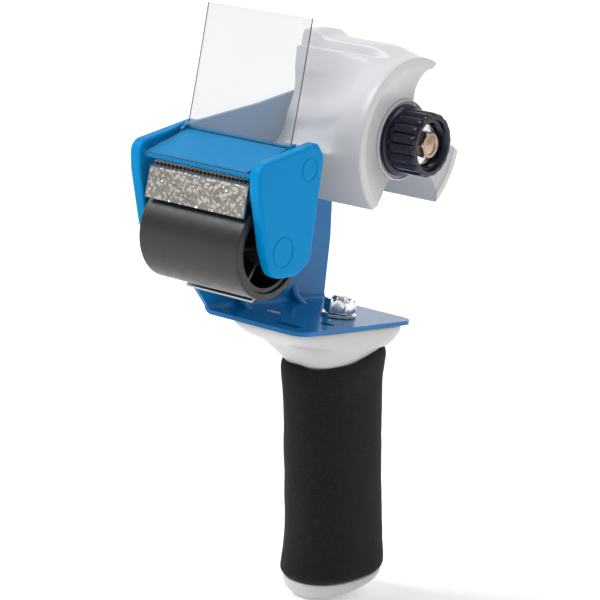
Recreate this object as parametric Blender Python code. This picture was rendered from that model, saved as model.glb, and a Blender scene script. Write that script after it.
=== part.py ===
"""Hand-held carton-sealing tape dispenser for 48 to 50 mm tape on a 76 mm core.

Metres, +Z up, origin at the centre of the grip. X runs along the roller axis (+X is the open side that
the tape roll is slid on from), -Y points to the roller and +Z is square to the base plate.
The pieces are drawn in "plate coordinates", whose origin is the middle of the base plate's upper face.
"""

import math

import bmesh
import bpy
from mathutils import Matrix, Vector

GAP = 0.0003                      # clearance between pieces that touch

# Grip and base plate
RAKE = math.radians(11.3)         # the handle leans back from the plate's normal
HANDLE_TOP = Vector((0.004, 0.0085, -0.0023))
HANDLE_LENGTH = 0.129
GRIP_CENTRE_ALONG = 0.069         # from the handle's top to the middle of the grip
CORE_HALF = (0.0163, 0.0240)      # half width and half depth of the handle core
FOAM_HALF = (0.0190, 0.0266)
FOAM_SPAN = (0.0150, 0.1235)      # along the handle
FOOT_TILT = -0.11                 # the sleeve's foot is cut lower at the rear
PLATE_HALF_WIDTH = 0.026
PLATE_HALF_DEPTH = 0.043
PLATE_CORNER = 0.007
SHEET = 0.002                     # steel thickness
BEND_INNER = 0.0025
WALL_INNER_X = -PLATE_HALF_WIDTH - BEND_INNER
WALL_OUTER_X = WALL_INNER_X - SHEET
STUD_XY = (0.006, 0.010)          # handle stud and its nut

# Roller and yoke
ROLLER_AXIS = (-0.0757, 0.0397)   # Y, Z
ROLLER_RADIUS = 0.0220
ROLLER_SPAN = (-0.026, 0.030)     # X
RUBBER_THICKNESS = 0.0028
AXLE_RADIUS = 0.004
TIE_AXIS = (-0.0640, 0.0747)
TIE_RADIUS = 0.003
CHEEK_THICKNESS = 0.006
NEAR_CHEEK_X = ROLLER_SPAN[1] + 0.0006
FAR_CHEEK_X = WALL_OUTER_X - GAP
BROW_REAR = Vector((-0.0704, 0.0825))     # Y, Z of the sloping front wall's upper edge
BROW_FRONT = Vector((-0.0930, 0.0737))    # and of its lower edge
BROW_THICKNESS = 0.003

# Tape hub and brake
HUB_AXIS = (0.0115, 0.0854)       # Y, Z
HUB_RADIUS = 0.0380               # runs in a 76.2 mm core
HUB_SPAN = (-0.0260, 0.0340)      # X
HUB_FACE_X = 0.0274               # bottom of the dished near face
HUB_BOSS_RADIUS = 0.0172
LOBE_COUNT = 3
LOBE_MIDDLE = math.radians(92.5)
LOBE_HALF_ANGLE = math.radians(20.5)
LOBE_ARC_STEPS = 8
HUB_AXLE_RADIUS = 0.0045
BRAKE_POCKET_RADIUS = 0.0115
BRAKE_POCKET_X = 0.0140           # floor of the pocket that holds the friction washer
KNOB_FLANGE_X = 0.0286
KNOB_FLANGE_RADIUS = 0.0164
KNOB_END_X = 0.0455
KNOB_RADIUS = 0.0148
KNOB_RIBS = 18
KNOB_TRAVEL_ROOM = 0.0012         # free room that the turning knob moves in

# Clear flap
FLAP_SPAN = (-0.0281, 0.0300)     # X of its clamped foot
FLAP_HALF_WIDTH = 0.0290
FLAP_MIDDLE_X = 0.0010
FLAP_TOP = Vector((-0.0655, 0.1380))
FLAP_THICKNESS = 0.0008

COLOURS = {
    "painted_steel": ((0.010, 0.150, 0.420), 0.22, 0.0),
    "blue_plastic": ((0.000, 0.270, 0.680), 0.35, 0.0),
    "white_plastic": ((0.620, 0.630, 0.640), 0.32, 0.0),
    "grip_foam": ((0.018, 0.018, 0.020), 0.90, 0.0),
    "rubber": ((0.040, 0.038, 0.042), 0.55, 0.0),
    "black_plastic": ((0.012, 0.013, 0.028), 0.22, 0.0),
    "zinc": ((0.420, 0.400, 0.350), 0.38, 1.0),
    "chrome": ((0.700, 0.700, 0.710), 0.15, 1.0),
    "brass": ((0.640, 0.380, 0.200), 0.30, 1.0),
    "fibre": ((0.180, 0.090, 0.050), 0.80, 0.0),
    "clear_sheet": ((0.800, 0.830, 0.840), 0.10, 0.0),
    "spring_steel": ((0.350, 0.350, 0.360), 0.30, 1.0),
}


def clear_scene():
    for old in list(bpy.data.objects):
        bpy.data.objects.remove(old)


def handle_point(along, x=0.0, y=0.0):
    """A point in plate coordinates, at a distance down the raked handle."""
    axis = Vector((0.0, math.sin(RAKE), -math.cos(RAKE)))
    side = Vector((0.0, math.cos(RAKE), math.sin(RAKE)))
    return HANDLE_TOP + axis * along + Vector((x, 0.0, 0.0)) + side * y


GRIP_CENTRE = handle_point(GRIP_CENTRE_ALONG)


def material(key):
    found = bpy.data.materials.get(key)
    if found:
        return found
    colour, roughness, metallic = COLOURS[key]
    made = bpy.data.materials.new(key)
    made.use_nodes = True
    shader = made.node_tree.nodes["Principled BSDF"]
    shader.inputs["Base Color"].default_value = (*colour, 1.0)
    shader.inputs["Roughness"].default_value = roughness
    shader.inputs["Metallic"].default_value = metallic
    return made


def pivot(name, y=0.0, z=0.0, x=0.0):
    """An empty on a joint's axis, given in plate coordinates."""
    empty = bpy.data.objects.new(name, None)
    empty.location = Vector((x, y, z)) - GRIP_CENTRE
    bpy.context.scene.collection.objects.link(empty)
    return empty


def finish_mesh(name, bm, look, parent, smooth_angle=math.radians(35)):
    """Turn a bmesh into a named object with its own material under its pivot."""
    bmesh.ops.remove_doubles(bm, verts=bm.verts, dist=1e-6)
    bmesh.ops.recalc_face_normals(bm, faces=bm.faces)
    if bm.calc_volume(signed=True) < 0.0:
        bmesh.ops.reverse_faces(bm, faces=bm.faces)
    mesh = bpy.data.meshes.new(name)
    bm.to_mesh(mesh)
    bm.free()
    mesh.shade_smooth()
    mesh.set_sharp_from_angle(angle=smooth_angle)
    piece = bpy.data.objects.new(name, mesh)
    piece.data.materials.append(material(look))
    piece.parent = parent
    bpy.context.scene.collection.objects.link(piece)
    return piece


def as_cutter(piece):
    piece.hide_render = True
    piece.display_type = "WIRE"
    return piece


def boolean(target, other, operation="DIFFERENCE"):
    step = target.modifiers.new(f"{operation.title()} {other.name}", "BOOLEAN")
    step.operation = operation
    step.solver = "EXACT"
    step.object = as_cutter(other)


def bevel(target, width, segments=2, angle=math.radians(40)):
    step = target.modifiers.new("Rounded edges", "BEVEL")
    step.width = width
    step.segments = segments
    step.limit_method = "ANGLE"
    step.angle_limit = angle


def rounded(corners, steps=4):
    """Outline from (point, radius) corners, each corner turned into an arc."""
    outline = []
    count = len(corners)
    for index, (corner, radius) in enumerate(corners):
        here = Vector(corner)
        before = (Vector(corners[index - 1][0]) - here).normalized()
        after = (Vector(corners[(index + 1) % count][0]) - here).normalized()
        half = before.angle(after) / 2.0
        if radius <= 0.0:
            outline.append(here)
            continue
        reach = radius / math.tan(half)
        centre = here + (before + after).normalized() * (radius / math.sin(half))
        start = here + before * reach - centre
        sweep = math.pi - 2.0 * half
        turn = math.copysign(sweep, before.x * after.y - before.y * after.x) * -1.0
        for step in range(steps + 1):
            angle = turn * step / steps
            outline.append(centre + Vector((
                start.x * math.cos(angle) - start.y * math.sin(angle),
                start.x * math.sin(angle) + start.y * math.cos(angle),
            )))
    return outline


def prism(name, outline, low, high, look, parent, along="x"):
    """Extrude a closed outline along an axis; the outline is (y, z), (x, z) or (x, y)."""
    place = {
        "x": lambda p, t: (t, p[0], p[1]),
        "y": lambda p, t: (p[0], t, p[1]),
        "z": lambda p, t: (p[0], p[1], t),
    }[along]
    bm = bmesh.new()
    bottom = [bm.verts.new(place(point, low)) for point in outline]
    face = bm.faces.new(bottom)
    grown = bmesh.ops.extrude_face_region(bm, geom=[face])
    shift = Vector(place((0.0, 0.0), high - low))
    moved = [v for v in grown["geom"] if isinstance(v, bmesh.types.BMVert)]
    bmesh.ops.translate(bm, verts=moved, vec=shift)
    return finish_mesh(name, bm, look, parent)


def turned(name, profile, look, parent, segments=40, along="x"):
    """Turn a closed (axial, radius) profile about its axis through the pivot."""
    bm = bmesh.new()
    points = [bm.verts.new((axial, 0.0, radius)) for axial, radius in profile]
    edges = [bm.edges.new((points[k], points[(k + 1) % len(points)])) for k in range(len(points))]
    edges = [e for e in edges if max(abs(v.co.z) for v in e.verts) > 1e-7]
    bmesh.ops.spin(
        bm, geom=edges, cent=(0.0, 0.0, 0.0), axis=(1.0, 0.0, 0.0),
        angle=math.tau, steps=segments, use_merge=True,
    )
    loose = [e for e in bm.edges if not e.link_faces]
    bmesh.ops.delete(bm, geom=loose, context="EDGES")
    loose = [v for v in bm.verts if not v.link_faces]
    bmesh.ops.delete(bm, geom=loose, context="VERTS")
    if along == "z":
        bmesh.ops.rotate(bm, verts=bm.verts, cent=(0, 0, 0), matrix=Matrix.Rotation(-math.pi / 2, 3, "Y"))
    return finish_mesh(name, bm, look, parent)


def solid_rod(low, high, radius, chamfer=0.0005):
    return [
        (low, 0.0), (low, radius - chamfer), (low + chamfer, radius),
        (high - chamfer, radius), (high, radius - chamfer), (high, 0.0),
    ]


def ring(low, high, inner, outer, chamfer=0.0002):
    if chamfer <= 0.0:
        return [(low, inner), (high, inner), (high, outer), (low, outer)]
    return [
        (low, inner), (high, inner), (high, outer - chamfer), (high - chamfer, outer),
        (low + chamfer, outer), (low, outer - chamfer),
    ]


def shifted(piece, x=0.0, y=0.0, z=0.0):
    """Move a mesh inside its pivot's coordinates."""
    piece.data.transform(Matrix.Translation((x, y, z)))
    return piece


# ---------------------------------------------------------------- frame

def base_plate(parent):
    """Flat plate with rounded near corners and slots for the handle's locating lugs."""
    half_w = PLATE_HALF_WIDTH
    half_d = PLATE_HALF_DEPTH
    outline = rounded([
        ((-half_w - 0.001, -half_d), 0.0),
        ((half_w, -half_d), PLATE_CORNER),
        ((half_w, half_d), PLATE_CORNER),
        ((-half_w - 0.001, half_d), 0.0),
    ])
    return prism("side_frame", outline, -SHEET, 0.0, "painted_steel", parent, along="z")


def bend(parent):
    """Quarter round between the plate and the wall."""
    middle = Vector((-PLATE_HALF_WIDTH, BEND_INNER))
    steps = 6
    quarter = [math.radians(180 + 90 * k / steps) for k in range(steps + 1)]
    inner = [middle + Vector((math.cos(a), math.sin(a))) * BEND_INNER for a in quarter]
    outer = [middle + Vector((math.cos(a), math.sin(a))) * (BEND_INNER + SHEET) for a in quarter]
    outline = inner + list(reversed(outer))
    return prism(
        "bend", outline, -PLATE_HALF_DEPTH, PLATE_HALF_DEPTH, "painted_steel", parent, along="y",
    )


def side_wall(parent):
    """Upright wall: rear edge leaning forward, round end over the hub axle, arm to the roller."""
    hub = Vector(HUB_AXIS)
    outline = rounded([
        ((PLATE_HALF_DEPTH, 0.0015), 0.0),
        ((0.0425, 0.0300), 0.004),
        ((hub.x + 0.0240, hub.y + 0.0020), 0.016),
        ((hub.x + 0.0080, hub.y + 0.0180), 0.012),
        ((-0.0220, 0.0935), 0.030),
        ((-0.0715, 0.0843), 0.004),
        ((-0.0820, 0.0600), 0.008),
        ((-0.0835, 0.0320), 0.009),
        ((-0.0660, 0.0240), 0.008),
        ((-PLATE_HALF_DEPTH, 0.0015), 0.0),
    ])
    return prism("side_wall", outline, WALL_OUTER_X, WALL_INNER_X, "painted_steel", parent)


def gusset(name, y, parent):
    """Triangular rib pressed into the bend."""
    reach = 0.0075
    root = 0.0012
    outline = [
        Vector((WALL_INNER_X - root, -root)),
        Vector((WALL_INNER_X + reach + BEND_INNER, -root)),
        Vector((WALL_INNER_X - root, reach + BEND_INNER)),
    ]
    return prism(name, outline, y - 0.0022, y + 0.0022, "painted_steel", parent, along="y")


def slot(name, x, y, length, width, parent):
    """Oval cutter through the plate, long along X."""
    half = width / 2.0
    outline = rounded([
        ((x - length / 2, y - half), half * 0.98),
        ((x + length / 2, y - half), half * 0.98),
        ((x + length / 2, y + half), half * 0.98),
        ((x - length / 2, y + half), half * 0.98),
    ])
    return prism(name, outline, -0.010, 0.010, "painted_steel", parent, along="z")


SLOTS = (
    ("locating_slot", -0.0125, -0.0150, 0.0085, 0.0045),
    ("front_slot", 0.0100, -0.0325, 0.0140, 0.0040),
    ("side_slot", 0.0165, -0.0120, 0.0075, 0.0040),
)
LUG = SLOTS[0]


def side_frame(parent):
    """One bent sheet: base plate, bend, upright wall, gussets, holes."""
    frame = base_plate(parent)
    boolean(frame, bend(parent), "UNION")
    boolean(frame, side_wall(parent), "UNION")
    for index, y in enumerate((0.0190, -0.0210)):
        boolean(frame, gusset(f"gusset_{index}", y, parent), "UNION")
    for name, x, y, length, width in SLOTS:
        boolean(frame, slot(name, x, y, length, width, parent))
    holes = (
        ("hub_hole", HUB_AXIS, HUB_AXLE_RADIUS + GAP),
        ("roller_hole", ROLLER_AXIS, AXLE_RADIUS + GAP),
        ("tie_hole", TIE_AXIS, TIE_RADIUS + GAP),
        ("guide_hole_0", GUIDE_RIVETS[0], 0.0018),
        ("guide_hole_1", GUIDE_RIVETS[1], 0.0018),
    )
    for name, place, radius in holes:
        cutter = turned(name, solid_rod(-0.040, -0.020, radius), "painted_steel", parent, segments=24)
        boolean(frame, shifted(cutter, y=place[0], z=place[1]))
    stud = turned("stud_hole", solid_rod(-0.010, 0.010, 0.0043), "painted_steel", parent, 24, along="z")
    boolean(frame, shifted(stud, x=STUD_XY[0], y=STUD_XY[1]))
    return frame


# ---------------------------------------------------------------- handle

def oval_ring(along, half_x, half_y, power, count=36, shift_y=0.0, tilt=0.0):
    """Superellipse around the handle's axis; tilt slants the ring front to rear."""
    points = []
    for k in range(count):
        angle = math.tau * k / count
        c = math.cos(angle)
        s = math.sin(angle)
        x = math.copysign(abs(c) ** (2.0 / power), c) * half_x
        y = math.copysign(abs(s) ** (2.0 / power), s) * half_y
        points.append(handle_point(along - tilt * y, x, y + shift_y))
    return points


def loft(bm, rings, close_start=True, close_end=True):
    made = [[bm.verts.new(p) for p in one] for one in rings]
    for lower, upper in zip(made, made[1:]):
        count = len(lower)
        for k in range(count):
            bm.faces.new((lower[k], lower[(k + 1) % count], upper[(k + 1) % count], upper[k]))
    if close_start:
        bm.faces.new(made[0])
    if close_end:
        bm.faces.new(made[-1])
    return made


ANGLES_16 = [math.tau * k / 16 for k in range(16)]


def round_ring(along, radius):
    """Circle round the handle's axis."""
    return [handle_point(along, radius * math.cos(a), radius * math.sin(a)) for a in ANGLES_16]


def flat_ring(z, half_x, half_y, power, centre, count=36):
    points = []
    for k in range(count):
        angle = math.tau * k / count
        c = math.cos(angle)
        s = math.sin(angle)
        x = math.copysign(abs(c) ** (2.0 / power), c) * half_x
        y = math.copysign(abs(s) ** (2.0 / power), s) * half_y
        points.append(Vector((centre[0] + x, centre[1] + y, z)))
    return points


def handle_core(parent):
    """Moulded core: flange under the plate, flaring neck and oval stem."""
    top = -SHEET - GAP
    rings = [
        flat_ring(top, 0.0243, 0.0390, 6.0, (0.0010, 0.0020)),
        flat_ring(top - 0.0030, 0.0243, 0.0385, 5.6, (0.0012, 0.0024)),
        flat_ring(top - 0.0065, 0.0230, 0.0355, 4.6, (0.0020, 0.0040)),
        flat_ring(top - 0.0095, 0.0208, 0.0310, 3.6, (0.0030, 0.0065)),
        oval_ring(0.0130, 0.0180, 0.0262, 2.8),
        oval_ring(0.0160, 0.0168, 0.0246, 2.4),
        oval_ring(0.0190, CORE_HALF[0], CORE_HALF[1], 2.3),
        oval_ring(HANDLE_LENGTH - 0.006, CORE_HALF[0], CORE_HALF[1], 2.3, tilt=FOOT_TILT),
    ]
    bm = bmesh.new()
    loft(bm, rings)
    core = finish_mesh("handle_core", bm, "white_plastic", parent)
    bore = turned("stud_bore", solid_rod(-0.045, 0.010, 0.0046), "white_plastic", parent, 24, along="z")
    boolean(core, shifted(bore, x=STUD_XY[0], y=STUD_XY[1]))
    _, x, y, length, width = LUG
    lug = prism("lug", rounded([
        ((x - length / 2 + 0.0006, y - width / 2 + 0.0006), 0.0013),
        ((x + length / 2 - 0.0006, y - width / 2 + 0.0006), 0.0013),
        ((x + length / 2 - 0.0006, y + width / 2 - 0.0006), 0.0013),
        ((x - length / 2 + 0.0006, y + width / 2 - 0.0006), 0.0013),
    ], steps=3), -0.0050, 0.0002, "white_plastic", parent, along="z")
    boolean(core, lug, "UNION")
    screw = bmesh.new()
    loft(screw, [round_ring(HANDLE_LENGTH + end, 0.0018) for end in (-0.020, 0.020)])
    boolean(core, finish_mesh("end_screw_bore", screw, "white_plastic", parent))
    return core


def foam_grip(parent):
    """Soft sleeve around the core, with a small swell at the front of its foot."""
    start, end = FOAM_SPAN
    wide = [
        (start, 0.0190, 0.0276, 0.0004, 0.0),
        (start + 0.004, 0.0198, 0.0288, 0.0008, 0.0),
        (start + 0.014, 0.0193, 0.0272, 0.0002, 0.0),
        (start + 0.040, FOAM_HALF[0], FOAM_HALF[1], 0.0, 0.0),
        (end - 0.026, FOAM_HALF[0], 0.0267, 0.0, -0.03),
        (end - 0.009, 0.0196, 0.0284, -0.0008, -0.08),
        (end - 0.0025, 0.0198, 0.0292, -0.0014, FOOT_TILT),
        (end, 0.0190, 0.0280, -0.0012, FOOT_TILT),
    ]
    outside = [oval_ring(a, hx, hy, 2.25, shift_y=s, tilt=t) for a, hx, hy, s, t in wide]
    bore = (CORE_HALF[0] + GAP, CORE_HALF[1] + GAP)
    inside = [
        oval_ring(end, bore[0], bore[1], 2.3, tilt=FOOT_TILT),
        oval_ring(start + 0.0050, bore[0], bore[1], 2.3),
        oval_ring(start, 0.0176, 0.0256, 2.5),
    ]
    bm = bmesh.new()
    made = loft(bm, outside + inside, close_start=False, close_end=False)
    first, last = made[0], made[-1]
    for k in range(len(first)):
        bm.faces.new((last[k], last[(k + 1) % len(first)], first[(k + 1) % len(first)], first[k]))
    return finish_mesh("foam_grip", bm, "grip_foam", parent)


def handle_end_cap(parent):
    """Rounded plug that closes the foot of the grip."""
    start = HANDLE_LENGTH - 0.006 + GAP
    foot = FOAM_SPAN[1] + 0.0004
    rings = [
        oval_ring(start, CORE_HALF[0], CORE_HALF[1], 2.3, tilt=FOOT_TILT),
        oval_ring(foot + 0.0004, CORE_HALF[0], CORE_HALF[1], 2.3, tilt=FOOT_TILT),
        oval_ring(foot + 0.0006, 0.0184, 0.0270, 2.25, shift_y=-0.0014, tilt=FOOT_TILT),
        oval_ring(foot + 0.0034, 0.0186, 0.0272, 2.25, shift_y=-0.0014, tilt=-0.07),
        oval_ring(foot + 0.0058, 0.0170, 0.0250, 2.25, shift_y=-0.0014, tilt=-0.03),
        oval_ring(foot + 0.0072, 0.0135, 0.0205, 2.25, shift_y=-0.0014),
    ]
    bm = bmesh.new()
    loft(bm, rings)
    cap = finish_mesh("handle_end_cap", bm, "white_plastic", parent)
    bm = bmesh.new()
    narrow, wide = 0.0021, 0.0040
    step = foot + 0.0044
    stations = ((start - 0.008, narrow), (step, narrow), (step, wide), (step + 0.02, wide))
    loft(bm, [round_ring(along, radius) for along, radius in stations])
    boolean(cap, finish_mesh("cap_screw_hole", bm, "white_plastic", parent))
    return cap


def end_screw(parent):
    """Countersunk screw up through the end cap into the core."""
    seat = FOAM_SPAN[1] + 0.0051
    bm = bmesh.new()
    stations = (
        (HANDLE_LENGTH - 0.0195, 0.0010), (HANDLE_LENGTH - 0.0185, 0.0015), (seat, 0.0015),
        (seat, 0.0034), (seat + 0.0016, 0.0034), (seat + 0.0020, 0.0029),
    )
    loft(bm, [round_ring(along, radius) for along, radius in stations])
    return finish_mesh("handle_end_screw", bm, "chrome", parent)


def hex_ring(across_flats, bore, low, high, chamfer=0.0006):
    """Chamfered hex nut outline as stacked rings along Z, with a plain bore."""
    segments = 24
    outer = []
    half = across_flats / 2.0
    for k in range(segments):
        angle = math.tau * k / segments
        local = (angle + math.pi / 6) % (math.pi / 3) - math.pi / 6
        outer.append((angle, half / math.cos(local)))
    rings = []
    turned_down = half * 1.03
    levels = ((low, turned_down), (low + chamfer, half * 2), (high - chamfer, half * 2), (high, turned_down))
    for z, limit in levels:
        reach = [(a, min(r, limit)) for a, r in outer]
        rings.append([Vector((r * math.cos(a), r * math.sin(a), z)) for a, r in reach])
    rings.append([Vector((bore * math.cos(a), bore * math.sin(a), high)) for a, _ in outer])
    rings.append([Vector((bore * math.cos(a), bore * math.sin(a), low)) for a, _ in outer])
    bm = bmesh.new()
    made = loft(bm, rings, close_start=False, close_end=False)
    first, last = made[0], made[-1]
    for k in range(segments):
        bm.faces.new((last[k], last[(k + 1) % segments], first[(k + 1) % segments], first[k]))
    return bm


def turn_to_x(piece):
    piece.data.transform(Matrix.Rotation(math.pi / 2, 4, "Y"))
    return piece


def handle_fixings(parent):
    """Stud from the handle, washer and hex nut on the plate."""
    x, y = STUD_XY
    stud = turned("handle_stud", solid_rod(-0.0440, 0.0098, 0.0040), "chrome", parent, 28, along="z")
    shifted(stud, x=x, y=y)
    washer = turned("handle_washer", ring(GAP, 0.0016, 0.0043, 0.0082), "chrome", parent, 24, along="z")
    shifted(washer, x=x, y=y)
    nut = finish_mesh("handle_nut", hex_ring(0.0130, 0.0043, 0.0019, 0.0083), "chrome", parent)
    shifted(nut, x=x, y=y)


# ---------------------------------------------------------------- yoke

def cheek_outline():
    return rounded([
        ((-0.0978, 0.0765), 0.006),
        ((-0.0600, 0.0862), 0.003),
        ((-0.0545, 0.0805), 0.006),
        ((-0.0560, 0.0345), 0.006),
        ((-0.0640, 0.0288), 0.009),
        ((-0.0800, 0.0278), 0.009),
        ((-0.0868, 0.0400), 0.006),
        ((-0.0955, 0.0640), 0.010),
    ])


def brow_outline():
    """Cross-section of the sloping wall that joins the cheeks."""
    slope = (BROW_FRONT - BROW_REAR).normalized()
    inward = Vector((-slope.y, slope.x))
    rear = BROW_REAR - slope * 0.003
    front = BROW_FRONT + slope * 0.0015
    return [
        rear, front,
        front + inward * BROW_THICKNESS,
        rear + inward * BROW_THICKNESS,
    ]


def yoke(parent):
    """Moulded yoke: two cheeks, the sloping wall between them and round boss marks."""
    outline = cheek_outline()
    near = prism(
        "yoke", outline, NEAR_CHEEK_X, NEAR_CHEEK_X + CHEEK_THICKNESS, "blue_plastic", parent,
    )
    far = prism(
        "far_cheek", outline, FAR_CHEEK_X - CHEEK_THICKNESS, FAR_CHEEK_X, "blue_plastic", parent,
    )
    boolean(near, far, "UNION")
    brow = prism(
        "brow", brow_outline(), FAR_CHEEK_X - 0.002, NEAR_CHEEK_X + 0.002, "blue_plastic", parent,
    )
    boolean(near, brow, "UNION")
    wall_clearance = prism(
        "wall_clearance", [Vector((-0.0885, 0.0600)), Vector((-0.0200, 0.0600)),
                           Vector((-0.0200, 0.0990)), Vector((-0.0800, 0.0990))],
        WALL_OUTER_X - GAP, WALL_INNER_X + GAP, "blue_plastic", parent,
    )
    boolean(near, wall_clearance)
    sockets = (
        ("axle_socket", ROLLER_AXIS, AXLE_RADIUS + GAP),
        ("tie_socket", TIE_AXIS, TIE_RADIUS + GAP),
    )
    for name, place, radius in sockets:
        cutter = turned(name, solid_rod(-0.050, NEAR_CHEEK_X + 0.0040, radius), "blue_plastic", parent, 24)
        boolean(near, shifted(cutter, y=place[0], z=place[1]))
    marks = (
        ("axle_mark", ROLLER_AXIS, 0.0068, 0.0060),
        ("tie_mark", TIE_AXIS, 0.0052, 0.0044),
    )
    outer = NEAR_CHEEK_X + CHEEK_THICKNESS
    for name, place, radius, inner in marks:
        profile = ring(outer - 0.0004, outer + 0.002, inner, radius, 0.0001)
        groove = turned(name, profile, "blue_plastic", parent, 32)
        boolean(near, shifted(groove, y=place[0], z=place[1]))
    bevel(near, 0.0011, segments=1, angle=math.radians(60))
    return near


def cross_rods(parent):
    """Roller axle and tie rod, each with a head outside the far cheek."""
    far_face = FAR_CHEEK_X - CHEEK_THICKNESS
    rods = (
        ("roller_axle", ROLLER_AXIS, AXLE_RADIUS, 0.0070),
        ("yoke_tie_rod", TIE_AXIS, TIE_RADIUS, 0.0055),
    )
    for name, place, radius, head in rods:
        tip = NEAR_CHEEK_X + 0.0037
        profile = [
            (far_face - 0.0035, 0.0), (far_face - 0.0035, head * 0.72), (far_face - 0.0026, head * 0.93),
            (far_face - 0.0014, head), (far_face - GAP, head), (far_face - GAP, radius),
            (tip - 0.0005, radius), (tip, radius - 0.0005), (tip, 0.0),
        ]
        rod = turned(name, profile, "chrome", parent, 24)
        shifted(rod, y=place[0], z=place[1])


def slope_frame():
    slope = (BROW_FRONT - BROW_REAR).normalized()
    inward = Vector((-slope.y, slope.x))
    return slope, inward


def blade(parent):
    """Serrated steel strip clamped under the sloping wall, teeth to the front."""
    slope, inward = slope_frame()
    top = BROW_REAR + inward * (BROW_THICKNESS + GAP)
    thickness = 0.0008
    teeth = 24
    low_x = ROLLER_SPAN[0] + 0.0010
    high_x = ROLLER_SPAN[1] - 0.0010
    back = 0.0110
    root = 0.0250
    tip = 0.0272
    pitch = (high_x - low_x) / teeth
    edge = []
    for k in range(teeth):
        edge.append((low_x + pitch * k, root))
        edge.append((low_x + pitch * (k + 0.5), tip))
    edge.append((high_x, root))
    plan = edge + [(high_x, back), (low_x, back)]
    bm = bmesh.new()
    upper = []
    for x, along in plan:
        place = top + slope * along
        upper.append(bm.verts.new((x, place.x, place.y)))
    face = bm.faces.new(upper)
    grown = bmesh.ops.extrude_face_region(bm, geom=[face])
    shift = inward * thickness
    moved = [v for v in grown["geom"] if isinstance(v, bmesh.types.BMVert)]
    bmesh.ops.translate(bm, verts=moved, vec=(0.0, shift.x, shift.y))
    return finish_mesh("blade", bm, "spring_steel", parent)


def rest_plate(parent):
    """Textured plate that holds the tape end: flange under the blade, face in front of the roller."""
    slope, inward = slope_frame()
    thickness = 0.0010
    under = BROW_REAR + inward * (BROW_THICKNESS + 2 * GAP + 0.0008)
    rear = under + slope * 0.0125
    bend_at = under + slope * 0.0235
    face_top = Vector((-0.0950, 0.0670))
    face_foot = Vector((-0.0965, 0.0537))
    down = (face_foot - face_top).normalized()
    back = Vector((-down.y, down.x))
    if back.x < 0.0:
        back = -back
    outline = [
        rear, bend_at, face_top, face_foot,
        face_foot + back * thickness,
        face_top + back * thickness + Vector((0.0002, -0.0004)),
        bend_at + inward * thickness + Vector((0.0003, 0.0)),
        rear + inward * thickness,
    ]
    return prism(
        "rest_plate", outline, ROLLER_SPAN[0] + 0.0004, ROLLER_SPAN[1] - 0.0004, "zinc", parent,
    )


def blade_screws(parent):
    """Two pan heads that clamp the blade and the rest plate to the sloping wall."""
    slope, inward = slope_frame()
    angle = math.atan2(inward.y, inward.x)
    seat = BROW_REAR + slope * 0.0165 + inward * (BROW_THICKNESS + 3 * GAP + 0.0018)
    for side, x in (("far", -0.0160), ("near", 0.0200)):
        profile = [
            (0.0, 0.0), (0.0, 0.0028), (0.0010, 0.0028), (0.0018, 0.0018), (0.0018, 0.0),
        ]
        screw = turned(f"blade_screw_{side}", profile, "chrome", parent, 20)
        turn = Matrix.Translation((x, seat.x, seat.y)) @ Matrix.Rotation(angle, 4, "X")
        screw.data.transform(turn @ Matrix.Rotation(math.pi / 2, 4, "Z"))


def flap_foot(parent):
    """Clear strip on the sloping wall; the flap stands up from its rear edge."""
    slope, inward = slope_frame()
    rear = BROW_REAR + slope * 0.0006 - inward * GAP
    front = BROW_FRONT + slope * 0.0042 - inward * GAP
    rise = inward * -FLAP_THICKNESS
    outline = [rear, rear + rise, front + rise, front]
    return prism("flap_foot", outline, FLAP_SPAN[0], FLAP_SPAN[1], "clear_sheet", parent)


def flap_hinge_place():
    slope, inward = slope_frame()
    return BROW_REAR - inward * (GAP + FLAP_THICKNESS * 0.5) - slope * 0.0003


def tape_flap(parent):
    """Clear leaf that presses the tape down; it flexes about its foot."""
    foot = flap_hinge_place()
    rise = FLAP_TOP - foot
    along = rise.normalized()
    across = Vector((-along.y, along.x)) * (FLAP_THICKNESS / 2)
    start = along * 0.0008
    outline = [start + across, rise + across, rise - across, start - across]
    low = FLAP_MIDDLE_X - FLAP_HALF_WIDTH
    high = FLAP_MIDDLE_X + FLAP_HALF_WIDTH
    return prism("tape_flap", outline, low, high, "clear_sheet", parent)


GUIDE_RIVETS = ((-0.0385, 0.0280), (-0.0385, 0.0400))
GUIDE_NEAR_X = 0.0100


def tape_guide(parent):
    """Zinc plate behind the roller, bent up from its lip, with a tab riveted to the wall."""
    thickness = 0.0010
    path = [Vector((-0.0600, 0.0125)), Vector((-0.0470, 0.0215)), Vector((-0.0445, 0.0460))]
    offset = []
    for index, point in enumerate(path):
        before = path[max(index - 1, 0)]
        after = path[min(index + 1, len(path) - 1)]
        run = (after - before).normalized()
        offset.append(point + Vector((run.y, -run.x)) * thickness)
    outline = path + list(reversed(offset))
    left = WALL_INNER_X + GAP
    plate = prism("tape_guide", outline, left, GUIDE_NEAR_X, "zinc", parent)
    tab = prism("guide_tab", rounded([
        ((-0.0455, 0.0235), 0.0),
        ((-0.0340, 0.0235), 0.003),
        ((-0.0340, 0.0445), 0.003),
        ((-0.0447, 0.0445), 0.0),
    ], steps=3), left, left + thickness, "zinc", parent)
    boolean(plate, tab, "UNION")
    for index, place in enumerate(GUIDE_RIVETS):
        cutter = turned(f"tab_hole_{index}", solid_rod(-0.040, -0.020, 0.0018), "zinc", parent, 16)
        boolean(plate, shifted(cutter, y=place[0], z=place[1]))
    return plate


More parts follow.
